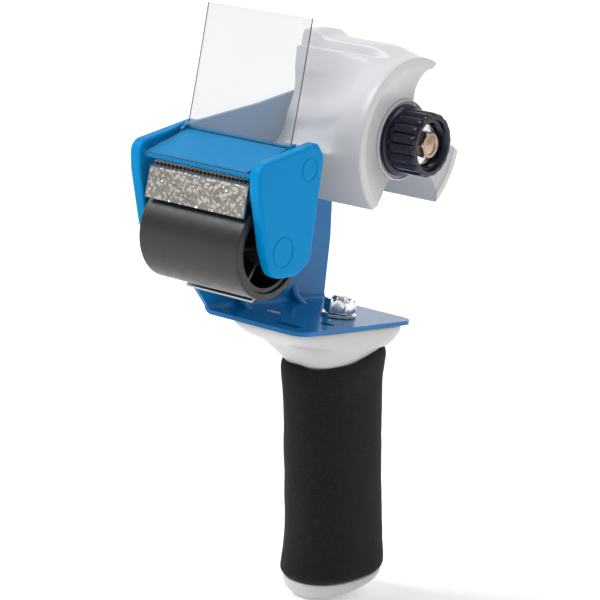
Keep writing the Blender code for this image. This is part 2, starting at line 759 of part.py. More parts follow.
def guide_rivets(parent):
    """Two rivets through the wall and the guide's tab."""
    low = WALL_OUTER_X
    high = WALL_INNER_X + GAP + 0.0010
    for side, place in zip(("lower", "upper"), GUIDE_RIVETS):
        profile = [
            (low - 0.0010, 0.0), (low - 0.0010, 0.0018), (low - GAP, 0.0030), (low - GAP, 0.0015),
            (high + GAP, 0.0015), (high + GAP, 0.0030), (high + 0.0012, 0.0018), (high + 0.0012, 0.0),
        ]
        rivet = turned(f"guide_rivet_{side}", profile, "chrome", parent, 20)
        shifted(rivet, y=place[0], z=place[1])


# ---------------------------------------------------------------- roller

def roller(parent):
    """Rubber tube on a moulded core that turns on two plain bushes."""
    low, high = ROLLER_SPAN
    core_outer = ROLLER_RADIUS - RUBBER_THICKNESS - GAP
    turned("roller_sleeve", ring(low, high, ROLLER_RADIUS - RUBBER_THICKNESS, ROLLER_RADIUS, 0.0005),
           "rubber", parent, 48)
    rim = 0.0019
    hub_outer = 0.0080
    bore = 0.0062
    middle = (low + high) / 2
    web = 0.0015
    profile = [
        (low + 0.0010, core_outer), (high - 0.0010, core_outer), (high - 0.0010, core_outer - rim),
        (middle + web, core_outer - rim), (middle + web, hub_outer), (high - 0.0010, hub_outer),
        (high - 0.0010, bore), (low + 0.0010, bore), (low + 0.0010, hub_outer),
        (middle - web, hub_outer), (middle - web, core_outer - rim), (low + 0.0010, core_outer - rim),
    ]
    core = turned("roller_core", profile, "black_plastic", parent, 32)
    for index in range(6):
        angle = math.tau * index / 6
        rib = prism(f"roller_rib_{index}", [
            Vector((hub_outer - 0.001, -0.0007)), Vector((core_outer - rim + 0.001, -0.0007)),
            Vector((core_outer - rim + 0.001, 0.0007)), Vector((hub_outer - 0.001, 0.0007)),
        ], low + 0.0040, high - 0.0040, "black_plastic", parent)
        rib.data.transform(Matrix.Rotation(angle, 4, "X"))
        boolean(core, rib, "UNION")
    for name, start, end in (
        ("roller_bush_far", low + 0.0006, low + 0.0126),
        ("roller_bush_near", high - 0.0126, high - 0.0006),
    ):
        turned(name, ring(start, end, AXLE_RADIUS + GAP, bore - GAP, 0.0), "white_plastic", parent, 24)


# ---------------------------------------------------------------- hub and brake

def lobe_outline():
    """Three swept lobes with finger scoops between them, as (y, z) about the hub's axis."""
    outline = []
    pitch = math.tau / LOBE_COUNT
    for lobe in range(LOBE_COUNT):
        middle = LOBE_MIDDLE + pitch * lobe
        for k in range(LOBE_ARC_STEPS + 1):
            angle = middle - LOBE_HALF_ANGLE + 2 * LOBE_HALF_ANGLE * k / LOBE_ARC_STEPS
            outline.append(Vector((HUB_RADIUS * math.cos(angle), HUB_RADIUS * math.sin(angle))))
        anchors = (
            (HUB_RADIUS, 20.5), (HUB_RADIUS, 20.5), (0.0300, 26.5), (0.0240, 31.0), (0.0190, 42.0),
            (HUB_BOSS_RADIUS, 60.0), (HUB_BOSS_RADIUS, 78.0), (0.0180, 97.0), (0.0240, 108.5),
            (0.0305, 108.0), (HUB_RADIUS, 99.5), (HUB_RADIUS, 99.5),
        )
        points = [
            Vector((r * math.cos(middle + math.radians(a)), r * math.sin(middle + math.radians(a))))
            for r, a in anchors
        ]
        for start in range(len(points) - 3):
            p0, p1, p2, p3 = points[start:start + 4]
            for k in range(3):
                if start == 0 and k == 0:
                    continue
                t = k / 3
                outline.append(0.5 * (
                    2 * p1 + (p2 - p0) * t + (2 * p0 - 5 * p1 + 4 * p2 - p3) * t * t
                    + (3 * p1 - p0 - 3 * p2 + p3) * t * t * t
                ))
    return outline


def wedge(middle_degrees, inner, outer, half_degrees, sweep_degrees, low, high, name, parent):
    """Pocket inside a lobe, open to the far end."""
    middle = math.radians(middle_degrees)
    half = math.radians(half_degrees)
    outline = []
    for k in range(5):
        angle = middle - half + 2 * half * k / 4
        outline.append(Vector((outer * math.cos(angle), outer * math.sin(angle))))
    root = middle + math.radians(sweep_degrees)
    for k in range(3):
        angle = root + half - 2 * half * k / 2
        outline.append(Vector((inner * math.cos(angle), inner * math.sin(angle))))
    return prism(name, outline, low, high, "white_plastic", parent)


def bridged_outline(outline):
    """The lobed outline with its first scoop filled out to the rim, point for point."""
    start = LOBE_MIDDLE + LOBE_HALF_ANGLE
    sweep = math.tau / LOBE_COUNT - 2 * LOBE_HALF_ANGLE
    per_lobe = len(outline) // LOBE_COUNT
    first = LOBE_ARC_STEPS + 1
    filled = list(outline)
    for index in range(first, per_lobe):
        angle = start + sweep * (index - first + 1) / (per_lobe - first + 1)
        filled[index] = Vector((HUB_RADIUS * math.cos(angle), HUB_RADIUS * math.sin(angle)))
    return filled


# Along X: how far the front scoop is filled out, the core spring's height and a scale
HUB_STATIONS = (
    (-0.0260, 0.0, 0.0045, 0.985), (-0.0252, 0.0, 0.0062, 1.0), (-0.0180, 0.02, 0.0064, 1.0),
    (-0.0130, 0.06, 0.0040, 1.0), (-0.0060, 0.15, 0.0038, 1.0), (0.0040, 0.38, 0.0037, 1.0),
    (0.0140, 0.68, 0.0036, 1.0), (0.0220, 0.88, 0.0018, 1.0), (0.0290, 1.0, 0.0003, 1.0),
    (0.0328, 1.0, 0.0, 1.0), (0.0337, 1.0, 0.0, 0.988), (0.0340, 1.0, 0.0, 0.970),
)


def hub_ring(x, fill, spring, size, lobed, bridged):
    """One outline of the drum; the top lobe's middle rises as the spring that grips the core."""
    points = []
    for index, (open_point, filled_point) in enumerate(zip(lobed, bridged)):
        place = open_point.lerp(filled_point, fill) * size
        if index <= LOBE_ARC_STEPS:
            across = abs(2.0 * index / LOBE_ARC_STEPS - 1.0)
            if across < 0.7:
                place = place * (1.0 + spring / HUB_RADIUS)
        points.append(Vector((x, place.x, place.y)))
    return points


def hub_drum(parent):
    """Drum with three lobes, a dished near face, a bridged front scoop and the brake pocket."""
    low, high = HUB_SPAN
    lobed = lobe_outline()
    bridged = bridged_outline(lobed)
    bm = bmesh.new()
    loft(bm, [hub_ring(*station, lobed, bridged) for station in HUB_STATIONS])
    drum = finish_mesh("hub_drum", bm, "white_plastic", parent)
    first = math.degrees(LOBE_MIDDLE)
    for lobe in range(LOBE_COUNT):
        pocket = wedge(
            first + 120.0 * lobe, 0.0205, HUB_RADIUS - 0.0028, 11.0, 9.5,
            low - 0.005, HUB_FACE_X - 0.0090, f"lobe_pocket_{lobe}", parent,
        )
        boolean(drum, pocket)
    dish = turned("near_dish", [
        (HUB_FACE_X, 0.0), (HUB_FACE_X, KNOB_FLANGE_RADIUS + 0.0020), (high - 0.0012, HUB_RADIUS - 0.0048),
        (high + 0.0010, HUB_RADIUS - 0.0032), (high + 0.0010, 0.0),
    ], "white_plastic", parent, 60)
    boolean(drum, dish)
    pocket = turned("brake_pocket", [
        (BRAKE_POCKET_X, 0.0), (BRAKE_POCKET_X, BRAKE_POCKET_RADIUS),
        (high, BRAKE_POCKET_RADIUS), (high, 0.0),
    ], "white_plastic", parent, 40)
    boolean(drum, pocket)
    through = solid_rod(low - 0.005, high + 0.005, HUB_AXLE_RADIUS + 0.0004)
    bore = turned("hub_bore", through, "white_plastic", parent, 24)
    boolean(drum, bore)
    return drum


def hub_fixings(parent):
    """Axle with its outside head and nut, and the parts of the brake stack that stay still."""
    y, z = HUB_AXIS
    head = WALL_OUTER_X - GAP
    profile = [
        (head - 0.0045, 0.0), (head - 0.0045, 0.0070), (head - 0.0030, 0.0086), (head, 0.0086),
        (head, HUB_AXLE_RADIUS), (0.0405, HUB_AXLE_RADIUS), (0.0410, HUB_AXLE_RADIUS - 0.0005), (0.0410, 0.0),
    ]
    axle = turned("hub_axle", profile, "chrome", parent, 24)
    shifted(axle, y=y, z=z)
    bore = HUB_AXLE_RADIUS + GAP
    spacer = ring(WALL_INNER_X + GAP, HUB_SPAN[0] - 0.0008, bore, 0.0100, 0.0)
    collar = turned("axle_collar", spacer, "chrome", parent, 24)
    shifted(collar, y=y, z=z)
    floor = BRAKE_POCKET_X
    disc = ring(floor + GAP, floor + 0.0018, bore, 0.0108, 0.0)
    friction = turned("friction_washer", disc, "fibre", parent, 24)
    shifted(friction, y=y, z=z)
    plain = ring(floor + 0.0021, floor + 0.0033, bore, 0.0105)
    pressure = turned("pressure_washer", plain, "chrome", parent, 24)
    shifted(pressure, y=y, z=z)


def brake_spring(parent):
    """Compression spring between the pressure washer and the thrust washer."""
    wire = 0.0007
    radius = 0.0082
    low = BRAKE_POCKET_X + 0.0036 + wire
    high = KNOB_FLANGE_X - 0.0015 - KNOB_TRAVEL_ROOM - wire
    turns = 4.0
    stations = 48
    sides = 5
    bm = bmesh.new()
    rings = []
    for k in range(stations + 1):
        t = k / stations
        angle = math.tau * turns * t
        centre = Vector((low + (high - low) * t, radius * math.cos(angle), radius * math.sin(angle)))
        outward = Vector((0.0, math.cos(angle), math.sin(angle)))
        rings.append([
            centre + outward * wire * math.cos(a) + Vector((1.0, 0.0, 0.0)) * wire * math.sin(a)
            for a in (math.tau * s / sides for s in range(sides))
        ])
    loft(bm, rings)
    spring = finish_mesh("brake_spring", bm, "spring_steel", parent, smooth_angle=math.radians(80))
    return shifted(spring, y=HUB_AXIS[0], z=HUB_AXIS[1])


def thrust_washer(parent):
    """Washer that the knob pushes along the axle without turning it."""
    high = KNOB_FLANGE_X - GAP
    disc = ring(high - 0.0012, high, HUB_AXLE_RADIUS + GAP, 0.0105, 0.0)
    turned("thrust_washer", disc, "chrome", parent, 24)


def knob_profile_ring(x, radius, depth, count):
    """Scalloped ring: ribs with rounded crests and narrow valleys."""
    points = []
    for k in range(count):
        angle = math.tau * k / count
        wave = abs(math.sin(angle * KNOB_RIBS / 2))
        points.append(Vector((x, (radius - depth * (1 - wave)) * math.cos(angle),
                              (radius - depth * (1 - wave)) * math.sin(angle))))
    return points


def brake_knob(parent):
    """Ribbed knob with a round flange and a deep recess in its end."""
    count = KNOB_RIBS * 4
    flange = KNOB_FLANGE_X
    body = flange + 0.0032
    rings = [
        knob_profile_ring(body - 0.0010, KNOB_RADIUS - 0.0004, 0.0008, count),
        knob_profile_ring(KNOB_END_X - 0.0010, KNOB_RADIUS, 0.0009, count),
        knob_profile_ring(KNOB_END_X, KNOB_RADIUS - 0.0010, 0.0006, count),
    ]
    bm = bmesh.new()
    loft(bm, rings)
    knob = finish_mesh("brake_knob", bm, "black_plastic", parent)
    disc = turned("knob_flange", [
        (flange, 0.0), (flange, KNOB_FLANGE_RADIUS - 0.0004), (flange + 0.0004, KNOB_FLANGE_RADIUS),
        (flange + 0.0014, KNOB_FLANGE_RADIUS), (flange + 0.0020, KNOB_FLANGE_RADIUS - 0.0006),
        (body, KNOB_RADIUS + 0.0002), (body, 0.0),
    ], "black_plastic", parent, 40)
    boolean(knob, disc, "UNION")
    recess = turned("knob_recess", [
        (KNOB_END_X - 0.0065, 0.0), (KNOB_END_X - 0.0065, 0.0098), (KNOB_END_X - 0.0006, 0.0112),
        (KNOB_END_X + 0.0010, 0.0128), (KNOB_END_X + 0.0010, 0.0),
    ], "black_plastic", parent, 40)
    boolean(knob, recess)
    through = solid_rod(flange - 0.005, KNOB_END_X, HUB_AXLE_RADIUS + GAP)
    bore = turned("knob_bore", through, "black_plastic", parent, 32)
    boolean(knob, bore)
    return knob


def knob_fittings(parent):
    """Chrome washer and brass hex insert in the knob's recess."""
    floor = KNOB_END_X - 0.0065
    disc = ring(floor + GAP, floor + 0.0015, HUB_AXLE_RADIUS + GAP, 0.0092)
    turned("knob_washer", disc, "chrome", parent, 40)
    bm = hex_ring(0.0112, HUB_AXLE_RADIUS + GAP, floor + 0.0018, floor + 0.0052, 0.0004)
    nut = finish_mesh("knob_insert", bm, "brass", parent)
    turn_to_x(nut)
    cap = turned("insert_cap", [
        (floor + 0.0030, 0.0), (floor + 0.0030, 0.0052), (floor + 0.0052, 0.0052), (floor + 0.0056, 0.0040),
        (floor + 0.0056, 0.0),
    ], "brass", parent, 24)
    boolean(nut, cap, "UNION")


def main():
    clear_scene()
    plate = pivot("plate_origin")
    side_frame(plate)
    handle_core(plate)
    foam_grip(plate)
    handle_end_cap(plate)
    end_screw(plate)
    handle_fixings(plate)
    yoke(plate)
    cross_rods(plate)
    blade(plate)
    rest_plate(plate)
    blade_screws(plate)
    flap_foot(plate)
    tape_guide(plate)
    guide_rivets(plate)
    hub_fixings(plate)
    brake_spring(plate)
    hinge = flap_hinge_place()
    tape_flap(pivot("flap_pivot", y=hinge.x, z=hinge.y))
    roller(pivot("roller_pivot", y=ROLLER_AXIS[0], z=ROLLER_AXIS[1]))
    hub_pivot = pivot("hub_pivot", y=HUB_AXIS[0], z=HUB_AXIS[1])
    hub_drum(hub_pivot)
    knob_pivot = pivot("knob_pivot", y=HUB_AXIS[0], z=HUB_AXIS[1])
    thrust_washer(knob_pivot)
    brake_knob(knob_pivot)
    knob_fittings(knob_pivot)


main()
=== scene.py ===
"""Looks of the tape dispenser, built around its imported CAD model.

Pieces are drawn in millimetres in plate coordinates: origin in the middle of the base plate's upper
face, X along the roller, -Y to the roller, +Z square to the plate.
"""

import math

import bmesh
import bpy
from mathutils import Matrix, Vector, noise


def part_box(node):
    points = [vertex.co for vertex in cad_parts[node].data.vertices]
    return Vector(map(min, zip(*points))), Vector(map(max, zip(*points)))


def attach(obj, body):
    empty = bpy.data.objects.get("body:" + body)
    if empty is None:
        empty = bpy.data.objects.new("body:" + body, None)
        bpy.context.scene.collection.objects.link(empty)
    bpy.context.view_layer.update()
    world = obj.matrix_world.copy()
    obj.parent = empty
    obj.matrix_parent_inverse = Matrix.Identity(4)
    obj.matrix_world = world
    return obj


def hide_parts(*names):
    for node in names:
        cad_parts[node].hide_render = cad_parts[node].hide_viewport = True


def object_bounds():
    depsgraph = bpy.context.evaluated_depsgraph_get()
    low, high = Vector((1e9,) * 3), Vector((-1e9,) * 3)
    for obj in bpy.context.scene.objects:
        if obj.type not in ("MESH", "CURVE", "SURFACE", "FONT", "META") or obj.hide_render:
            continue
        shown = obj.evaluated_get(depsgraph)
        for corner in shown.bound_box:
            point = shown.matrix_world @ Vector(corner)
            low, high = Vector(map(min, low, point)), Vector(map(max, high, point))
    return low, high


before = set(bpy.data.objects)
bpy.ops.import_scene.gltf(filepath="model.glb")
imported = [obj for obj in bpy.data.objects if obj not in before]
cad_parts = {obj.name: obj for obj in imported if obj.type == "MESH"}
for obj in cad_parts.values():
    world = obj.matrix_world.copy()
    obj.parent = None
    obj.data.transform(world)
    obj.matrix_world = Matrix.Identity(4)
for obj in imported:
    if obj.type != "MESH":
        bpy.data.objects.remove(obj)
cad_low, cad_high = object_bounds()

MM = 0.001

# Places taken from the CAD frame
frame_low, frame_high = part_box("side_frame")
PLATE_HALF_WIDTH = 26.0
PLATE_HALF_DEPTH = 43.0
SHEET = 2.0
ORIGIN = Vector((
    frame_high.x - PLATE_HALF_WIDTH * MM,
    frame_high.y - PLATE_HALF_DEPTH * MM,
    frame_low.z + SHEET * MM,
))


# ---------------------------------------------------------------- camera and light

CAMERA_AZIMUTH = math.radians(37.5)
CAMERA_ELEVATION = math.radians(9.8)
CAMERA_ROLL = math.radians(6.7)
CAMERA_DISTANCE = 1.10
FOCAL_LENGTH = 144.0
SENSOR = 36.0
AIM_RIGHT = 15.0 / 600.0         # the plate's middle, right of and below the picture's middle
AIM_DOWN = 15.1 / 600.0


def place_camera():
    back = Vector((
        math.sin(CAMERA_AZIMUTH) * math.cos(CAMERA_ELEVATION),
        -math.cos(CAMERA_AZIMUTH) * math.cos(CAMERA_ELEVATION),
        math.sin(CAMERA_ELEVATION),
    ))
    level = Vector((math.cos(CAMERA_AZIMUTH), math.sin(CAMERA_AZIMUTH), 0.0))
    upright = back.cross(level)
    right = level * math.cos(CAMERA_ROLL) + upright * math.sin(CAMERA_ROLL)
    up = upright * math.cos(CAMERA_ROLL) - level * math.sin(CAMERA_ROLL)
    width = CAMERA_DISTANCE * SENSOR / FOCAL_LENGTH
    where = ORIGIN + back * CAMERA_DISTANCE - right * width * AIM_RIGHT + up * width * AIM_DOWN
    data = bpy.data.cameras.new("camera")
    data.lens = FOCAL_LENGTH
    data.sensor_width = SENSOR
    data.clip_start = 0.01
    camera = bpy.data.objects.new("camera", data)
    turn = Matrix((right, up, back)).transposed()
    camera.matrix_world = Matrix.Translation(where) @ turn.to_4x4()
    bpy.context.scene.collection.objects.link(camera)
    bpy.context.scene.camera = camera


def sun_light(name, where, power):
    data = bpy.data.lights.new(name, "SUN")
    data.energy = power
    data.angle = math.radians(35)
    lamp = bpy.data.objects.new(name, data)
    lamp.rotation_euler = (-Vector(where)).to_track_quat("-Z", "Y").to_euler()
    bpy.context.scene.collection.objects.link(lamp)


def area_light(name, where, aim, size, power):
    data = bpy.data.lights.new(name, "AREA")
    data.shape = "RECTANGLE"
    data.size, data.size_y = size
    data.energy = power
    lamp = bpy.data.objects.new(name, data)
    lamp.location = where
    lamp.rotation_euler = (Vector(aim) - Vector(where)).to_track_quat("-Z", "Y").to_euler()
    bpy.context.scene.collection.objects.link(lamp)


# ---------------------------------------------------------------- mesh helpers

def rounded(corners, steps=8):
    """Closed outline from (point, radius) corners, each turned into an arc."""
    outline = []
    count = len(corners)
    for index, (corner, radius) in enumerate(corners):
        here = Vector(corner)
        if radius <= 0.0:
            outline.append(here)
            continue
        before = (Vector(corners[index - 1][0]) - here).normalized()
        after = (Vector(corners[(index + 1) % count][0]) - here).normalized()
        half = before.angle(after) / 2.0
        centre = here + (before + after).normalized() * (radius / math.sin(half))
        start = here + before * (radius / math.tan(half)) - centre
        sweep = math.pi - 2.0 * half
        turn = -math.copysign(sweep, before.x * after.y - before.y * after.x)
        for step in range(steps + 1):
            outline.append(centre + Matrix.Rotation(turn * step / steps, 2) @ start)
    return outline


def loft(bm, rings, closed=False):
    """Skin a list of point rings; closed joins the last ring to the first."""
    made = [[bm.verts.new(p) for p in ring] for ring in rings]
    pairs = list(zip(made, made[1:]))
    if closed:
        pairs.append((made[-1], made[0]))
    for lower, upper in pairs:
        count = len(lower)
        for k in range(count):
            after = (k + 1) % count
            bm.faces.new((lower[k], lower[after], upper[after], upper[k]))
    if not closed:
        bm.faces.new(made[0])
        bm.faces.new(made[-1])


def mesh_object(name, bm):
    bmesh.ops.recalc_face_normals(bm, faces=bm.faces)
    if bm.calc_volume(signed=True) < 0.0:
        bmesh.ops.reverse_faces(bm, faces=bm.faces)
    mesh = bpy.data.meshes.new(name)
    bm.to_mesh(mesh)
    bm.free()
    made = bpy.data.objects.new(name, mesh)
    bpy.context.scene.collection.objects.link(made)
    return made


def prism(name, outline, low, high, along="x"):
    place = {
        "x": lambda p, t: (t, p[0], p[1]),
        "y": lambda p, t: (p[0], t, p[1]),
        "z": lambda p, t: (p[0], p[1], t),
    }[along]
    bm = bmesh.new()
    loft(bm, [[place(p, t) for p in outline] for t in (low, high)])
    return mesh_object(name, bm)


def circle_points(x, radius, y, z, count):
    """Circle about a line along X."""
    angles = [math.tau * k / count for k in range(count)]
    return [Vector((x, y + radius * math.cos(a), z + radius * math.sin(a))) for a in angles]


def upright_circle(radius, z, x=0.0, y=0.0, count=96):
    """Circle about a line along Z."""
    angles = [math.tau * k / count for k in range(count)]
    return [Vector((x + radius * math.cos(a), y + radius * math.sin(a), z)) for a in angles]


def turned(name, profile, y=0.0, z=0.0, count=64, closed=False):
    """Turn an (x, radius) profile about the line through (y, z) along X."""
    bm = bmesh.new()
    loft(bm, [circle_points(x, r, y, z, count) for x, r in profile], closed=closed)
    return mesh_object(name, bm)


def bake_modifiers(target):
    graph = bpy.context.evaluated_depsgraph_get()
    mesh = bpy.data.meshes.new_from_object(target.evaluated_get(graph))
    target.modifiers.clear()
    target.data = mesh


def combine(target, others, operation):
    """Boolean the others into target and remove them."""
    for other in others:
        step = target.modifiers.new(operation, "BOOLEAN")
        step.operation = operation
        step.solver = "EXACT"
        step.object = other
    bake_modifiers(target)
    for other in others:
        bpy.data.objects.remove(other)
    return target


def soften(target, width, segments=3, angle=35.0):
    """Round the edges sharper than the angle."""
    bm = bmesh.new()
    bm.from_mesh(target.data)
    bmesh.ops.remove_doubles(bm, verts=bm.verts, dist=0.002)
    bmesh.ops.dissolve_limit(
        bm, angle_limit=math.radians(0.5), verts=bm.verts, edges=bm.edges,
    )
    bm.to_mesh(target.data)
    bm.free()
    step = target.modifiers.new("Rounded edges", "BEVEL")
    step.width = width
    step.segments = segments
    step.limit_method = "ANGLE"
    step.angle_limit = math.radians(angle)
    bake_modifiers(target)
    return target


def finish_piece(made, look, body, replaces=(), sharp=50.0):
    """Move a piece from plate millimetres to the frame, give it its looks and its body."""
    made.data.transform(Matrix.Translation(ORIGIN) @ Matrix.Scale(MM, 4))
    made.data.materials.clear()
    made.data.materials.append(look)
    made.data.shade_smooth()
    made.data.set_sharp_from_angle(angle=math.radians(sharp))
    step = made.modifiers.new("Even shading", "WEIGHTED_NORMAL")
    step.keep_sharp = True
    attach(made, body)
    if replaces:
        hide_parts(*replaces)
    return made


def keep(node, look):
    """A CAD node whose shape is right, with a better material."""
    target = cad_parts[node]
    target.data.materials.clear()
    target.data.materials.append(look)


# ---------------------------------------------------------------- materials

def base_material(name):
    made = bpy.data.materials.new(name)
    made.use_nodes = True
    return made, made.node_tree, made.node_tree.nodes["Principled BSDF"]


def noise_at(tree, scale, detail=3.0, stretch=None):
    """Noise in the piece's own coordinates, per metre."""
    place = tree.nodes.new("ShaderNodeTexCoord")
    made = tree.nodes.new("ShaderNodeTexNoise")
    made.inputs["Scale"].default_value = scale
    made.inputs["Detail"].default_value = detail
    source = place.outputs["Object"]
    if stretch:
        mapping = tree.nodes.new("ShaderNodeMapping")
        mapping.inputs["Scale"].default_value = stretch
        tree.links.new(source, mapping.inputs["Vector"])
        source = mapping.outputs["Vector"]
    tree.links.new(source, made.inputs["Vector"])
    return made.outputs["Fac"]


def spread_value(tree, source, low, high):
    made = tree.nodes.new("ShaderNodeMapRange")
    made.inputs["From Min"].default_value = 0.3
    made.inputs["From Max"].default_value = 0.7
    made.inputs["To Min"].default_value = low
    made.inputs["To Max"].default_value = high
    tree.links.new(source, made.inputs["Value"])
    return made.outputs["Result"]


def mix_colour(tree, fac, low, high):
    made = tree.nodes.new("ShaderNodeMix")
    made.data_type = "RGBA"
    made.inputs["A"].default_value = (*low, 1.0)
    made.inputs["B"].default_value = (*high, 1.0)
    tree.links.new(fac, made.inputs["Factor"])
    return made


def add_bump(tree, shader, source, strength, depth_mm):
    made = tree.nodes.new("ShaderNodeBump")
    made.inputs["Strength"].default_value = strength
    made.inputs["Distance"].default_value = depth_mm * MM
    tree.links.new(source, made.inputs["Height"])
    if shader.inputs["Normal"].links:
        tree.links.new(shader.inputs["Normal"].links[0].from_socket, made.inputs["Normal"])
    tree.links.new(made.outputs["Normal"], shader.inputs["Normal"])


def moulded(name, colour, rough, tone=0.04, grain=2600.0, grain_depth=0.006, coat=0.0, shine=0.5):
    """Plastic, paint or metal with faint tone drift, uneven gloss and surface grain."""
    made, tree, shader = base_material(name)
    drift = noise_at(tree, 45.0, 4.0)
    dark = [c * (1.0 - tone) for c in colour]
    light = [min(c * (1.0 + tone) + tone * 0.02, 1.0) for c in colour]
    tint = mix_colour(tree, spread_value(tree, drift, 0.0, 1.0), dark, light)
    tree.links.new(tint.outputs["Result"], shader.inputs["Base Color"])
    gloss = noise_at(tree, 260.0, 5.0)
    tree.links.new(spread_value(tree, gloss, rough * 0.85, rough * 1.2), shader.inputs["Roughness"])
    add_bump(tree, shader, noise_at(tree, grain, 2.0), 0.5, grain_depth)
    shader.inputs["Specular IOR Level"].default_value = shine
    if coat:
        shader.inputs["Coat Weight"].default_value = coat
        shader.inputs["Coat Roughness"].default_value = 0.06
        add_bump(tree, shader, noise_at(tree, 160.0, 1.0), 0.25, 0.05)
    return made


def foam_material():
    """Closed-cell foam: matt charcoal skin with fine pores and lighter specks."""
    made, tree, shader = base_material("foam_skin")
    place = tree.nodes.new("ShaderNodeTexCoord")
    cells = tree.nodes.new("ShaderNodeTexVoronoi")
    cells.inputs["Scale"].default_value = 1700.0
    tree.links.new(place.outputs["Object"], cells.inputs["Vector"])
    pores = spread_value(tree, cells.outputs["Distance"], 0.0, 1.0)
    flecks = noise_at(tree, 900.0, 6.0)
    drift = noise_at(tree, 60.0, 3.0)
    speckle = spread_value(tree, flecks, 0.0, 1.0)
    tint = mix_colour(tree, speckle, (0.0050, 0.0050, 0.0055), (0.0135, 0.0135, 0.0140))
    wear = spread_value(tree, drift, 0.0, 0.5)
    tone = mix_colour(tree, wear, (0.0, 0.0, 0.0), (0.0130, 0.0130, 0.0135))
    tree.links.new(tint.outputs["Result"], tone.inputs["A"])
    tree.links.new(tone.outputs["Result"], shader.inputs["Base Color"])
    shader.inputs["Roughness"].default_value = 0.92
    shader.inputs["Specular IOR Level"].default_value = 0.12
    shader.inputs["Sheen Weight"].default_value = 0.04
    shader.inputs["Sheen Roughness"].default_value = 0.6
    add_bump(tree, shader, pores, 0.6, 0.10)
    add_bump(tree, shader, flecks, 0.5, 0.16)
    return made


def metal(name, colour, rough, brush=None, grain=1200.0, depth=0.004):
    """Bare or plated metal; brush stretches the grain along one axis."""
    made, tree, shader = base_material(name)
    streaks = noise_at(tree, grain, 4.0, brush)
    blotch = noise_at(tree, 90.0, 3.0)
    dark = [c * 0.82 for c in colour]
    tint = mix_colour(tree, spread_value(tree, blotch, 0.0, 1.0), dark, colour)
    tree.links.new(tint.outputs["Result"], shader.inputs["Base Color"])
    uneven = spread_value(tree, streaks, rough * 0.7, rough * 1.4)
    tree.links.new(uneven, shader.inputs["Roughness"])
    shader.inputs["Metallic"].default_value = 1.0
    add_bump(tree, shader, streaks, 0.6, depth)
    return made


def clear_material(name, colour, alpha, rough):
    """Clear sheet: mostly see-through with a pale body and gloss."""
    made, tree, shader = base_material(name)
    haze = noise_at(tree, 120.0, 3.0)
    tint = mix_colour(tree, spread_value(tree, haze, 0.0, 1.0), [c * 0.95 for c in colour], colour)
    tree.links.new(tint.outputs["Result"], shader.inputs["Base Color"])
    shader.inputs["Roughness"].default_value = rough
    shader.inputs["Alpha"].default_value = alpha
    add_bump(tree, shader, noise_at(tree, 30.0, 1.0), 0.2, 0.10)
    return made


PAINT = moulded(
    "blue_paint", (0.0, 0.150, 0.400), 0.20,
    coat=0.10, grain=700.0, grain_depth=0.002, shine=0.20,
)
YOKE = moulded("blue_plastic", (0.0, 0.245, 0.560), 0.40, tone=0.02, shine=0.06)
WHITE = moulded(
    "white_plastic", (0.590, 0.595, 0.612), 0.35,
    tone=0.015, grain=500.0, grain_depth=0.0005,
)
HANDLE_WHITE = moulded(
    "handle_plastic", (0.520, 0.520, 0.515), 0.34,
    tone=0.015, grain=500.0, grain_depth=0.0005,
)
FOAM = foam_material()
RUBBER = moulded(
    "roller_rubber", (0.010, 0.010, 0.011), 0.36,
    tone=0.16, grain=1500.0, grain_depth=0.012,
)
CORE = moulded("roller_core", (0.012, 0.012, 0.014), 0.35, tone=0.1)
BLACK = moulded("knob_plastic", (0.007, 0.008, 0.024), 0.20, tone=0.1, shine=0.4)
ZINC = metal("zinc_sheet", (0.52, 0.50, 0.45), 0.36, brush=(1.0, 0.15, 0.15), grain=900.0)
CRINKLED = metal("crinkled_zinc", (0.52, 0.495, 0.455), 0.25, grain=2200.0, depth=0.02)
CHROME = metal("bright_steel", (0.78, 0.78, 0.79), 0.14, grain=2600.0)
BLADE_STEEL = metal("blade_steel", (0.50, 0.50, 0.52), 0.25, brush=(0.1, 1.0, 1.0), grain=2400.0)
COPPER = metal("copper_tone", (0.48, 0.36, 0.27), 0.32, grain=1500.0, depth=0.01)
FIBRE = moulded(
    "brake_fibre", (0.120, 0.060, 0.035), 0.80,
    tone=0.2, grain=2000.0, grain_depth=0.03,
)
CLEAR = clear_material("clear_sheet", (0.42, 0.45, 0.47), 0.27, 0.06)
CLEAR_STRIP = clear_material("clear_strip", (0.0, 0.30, 0.60), 0.08, 0.05)
# Dark, nearly opaque colour for the clear sheets' edge faces: a painted reflection, not the sheet's
# own colour.
DARK_EDGE_PAINTED_REFLECTION = clear_material("sheet_edge_painted_reflection", (0.020, 0.030, 0.065), 0.92, 0.05)


# ---------------------------------------------------------------- frame

WALL_INNER = -28.5
WALL_OUTER = -30.5
HUB_Y, HUB_Z = 11.5, 85.4
ROLLER_Y, ROLLER_Z = -75.7, 39.7
TIE_Y, TIE_Z = -64.0, 74.7
HUB_ROOM = 4.8
AXLE_ROOM = 4.3
TIE_ROOM = 3.3
RIVET_ROOM = 1.8
STUD_ROOM = 4.3
GUSSET_PLACES = (19.0, -21.0)
BEND_RADIUS = 2.5
GUIDE_RIVETS = ((-38.5, 28.0), (-38.5, 40.0))
SLOTS = (
    (-12.5, -15.0, 8.5, 4.5),
    (10.0, -32.5, 14.0, 4.0),
    (16.5, -12.0, 7.5, 4.0),
)
STUD = (6.0, 10.0)


def oval(x, y, length, width, radius_share=0.98, steps=8):
    half = width / 2
    radius = half * radius_share
    return rounded([
        ((x - length / 2, y - half), radius), ((x + length / 2, y - half), radius),
        ((x + length / 2, y + half), radius), ((x - length / 2, y + half), radius),
    ], steps)


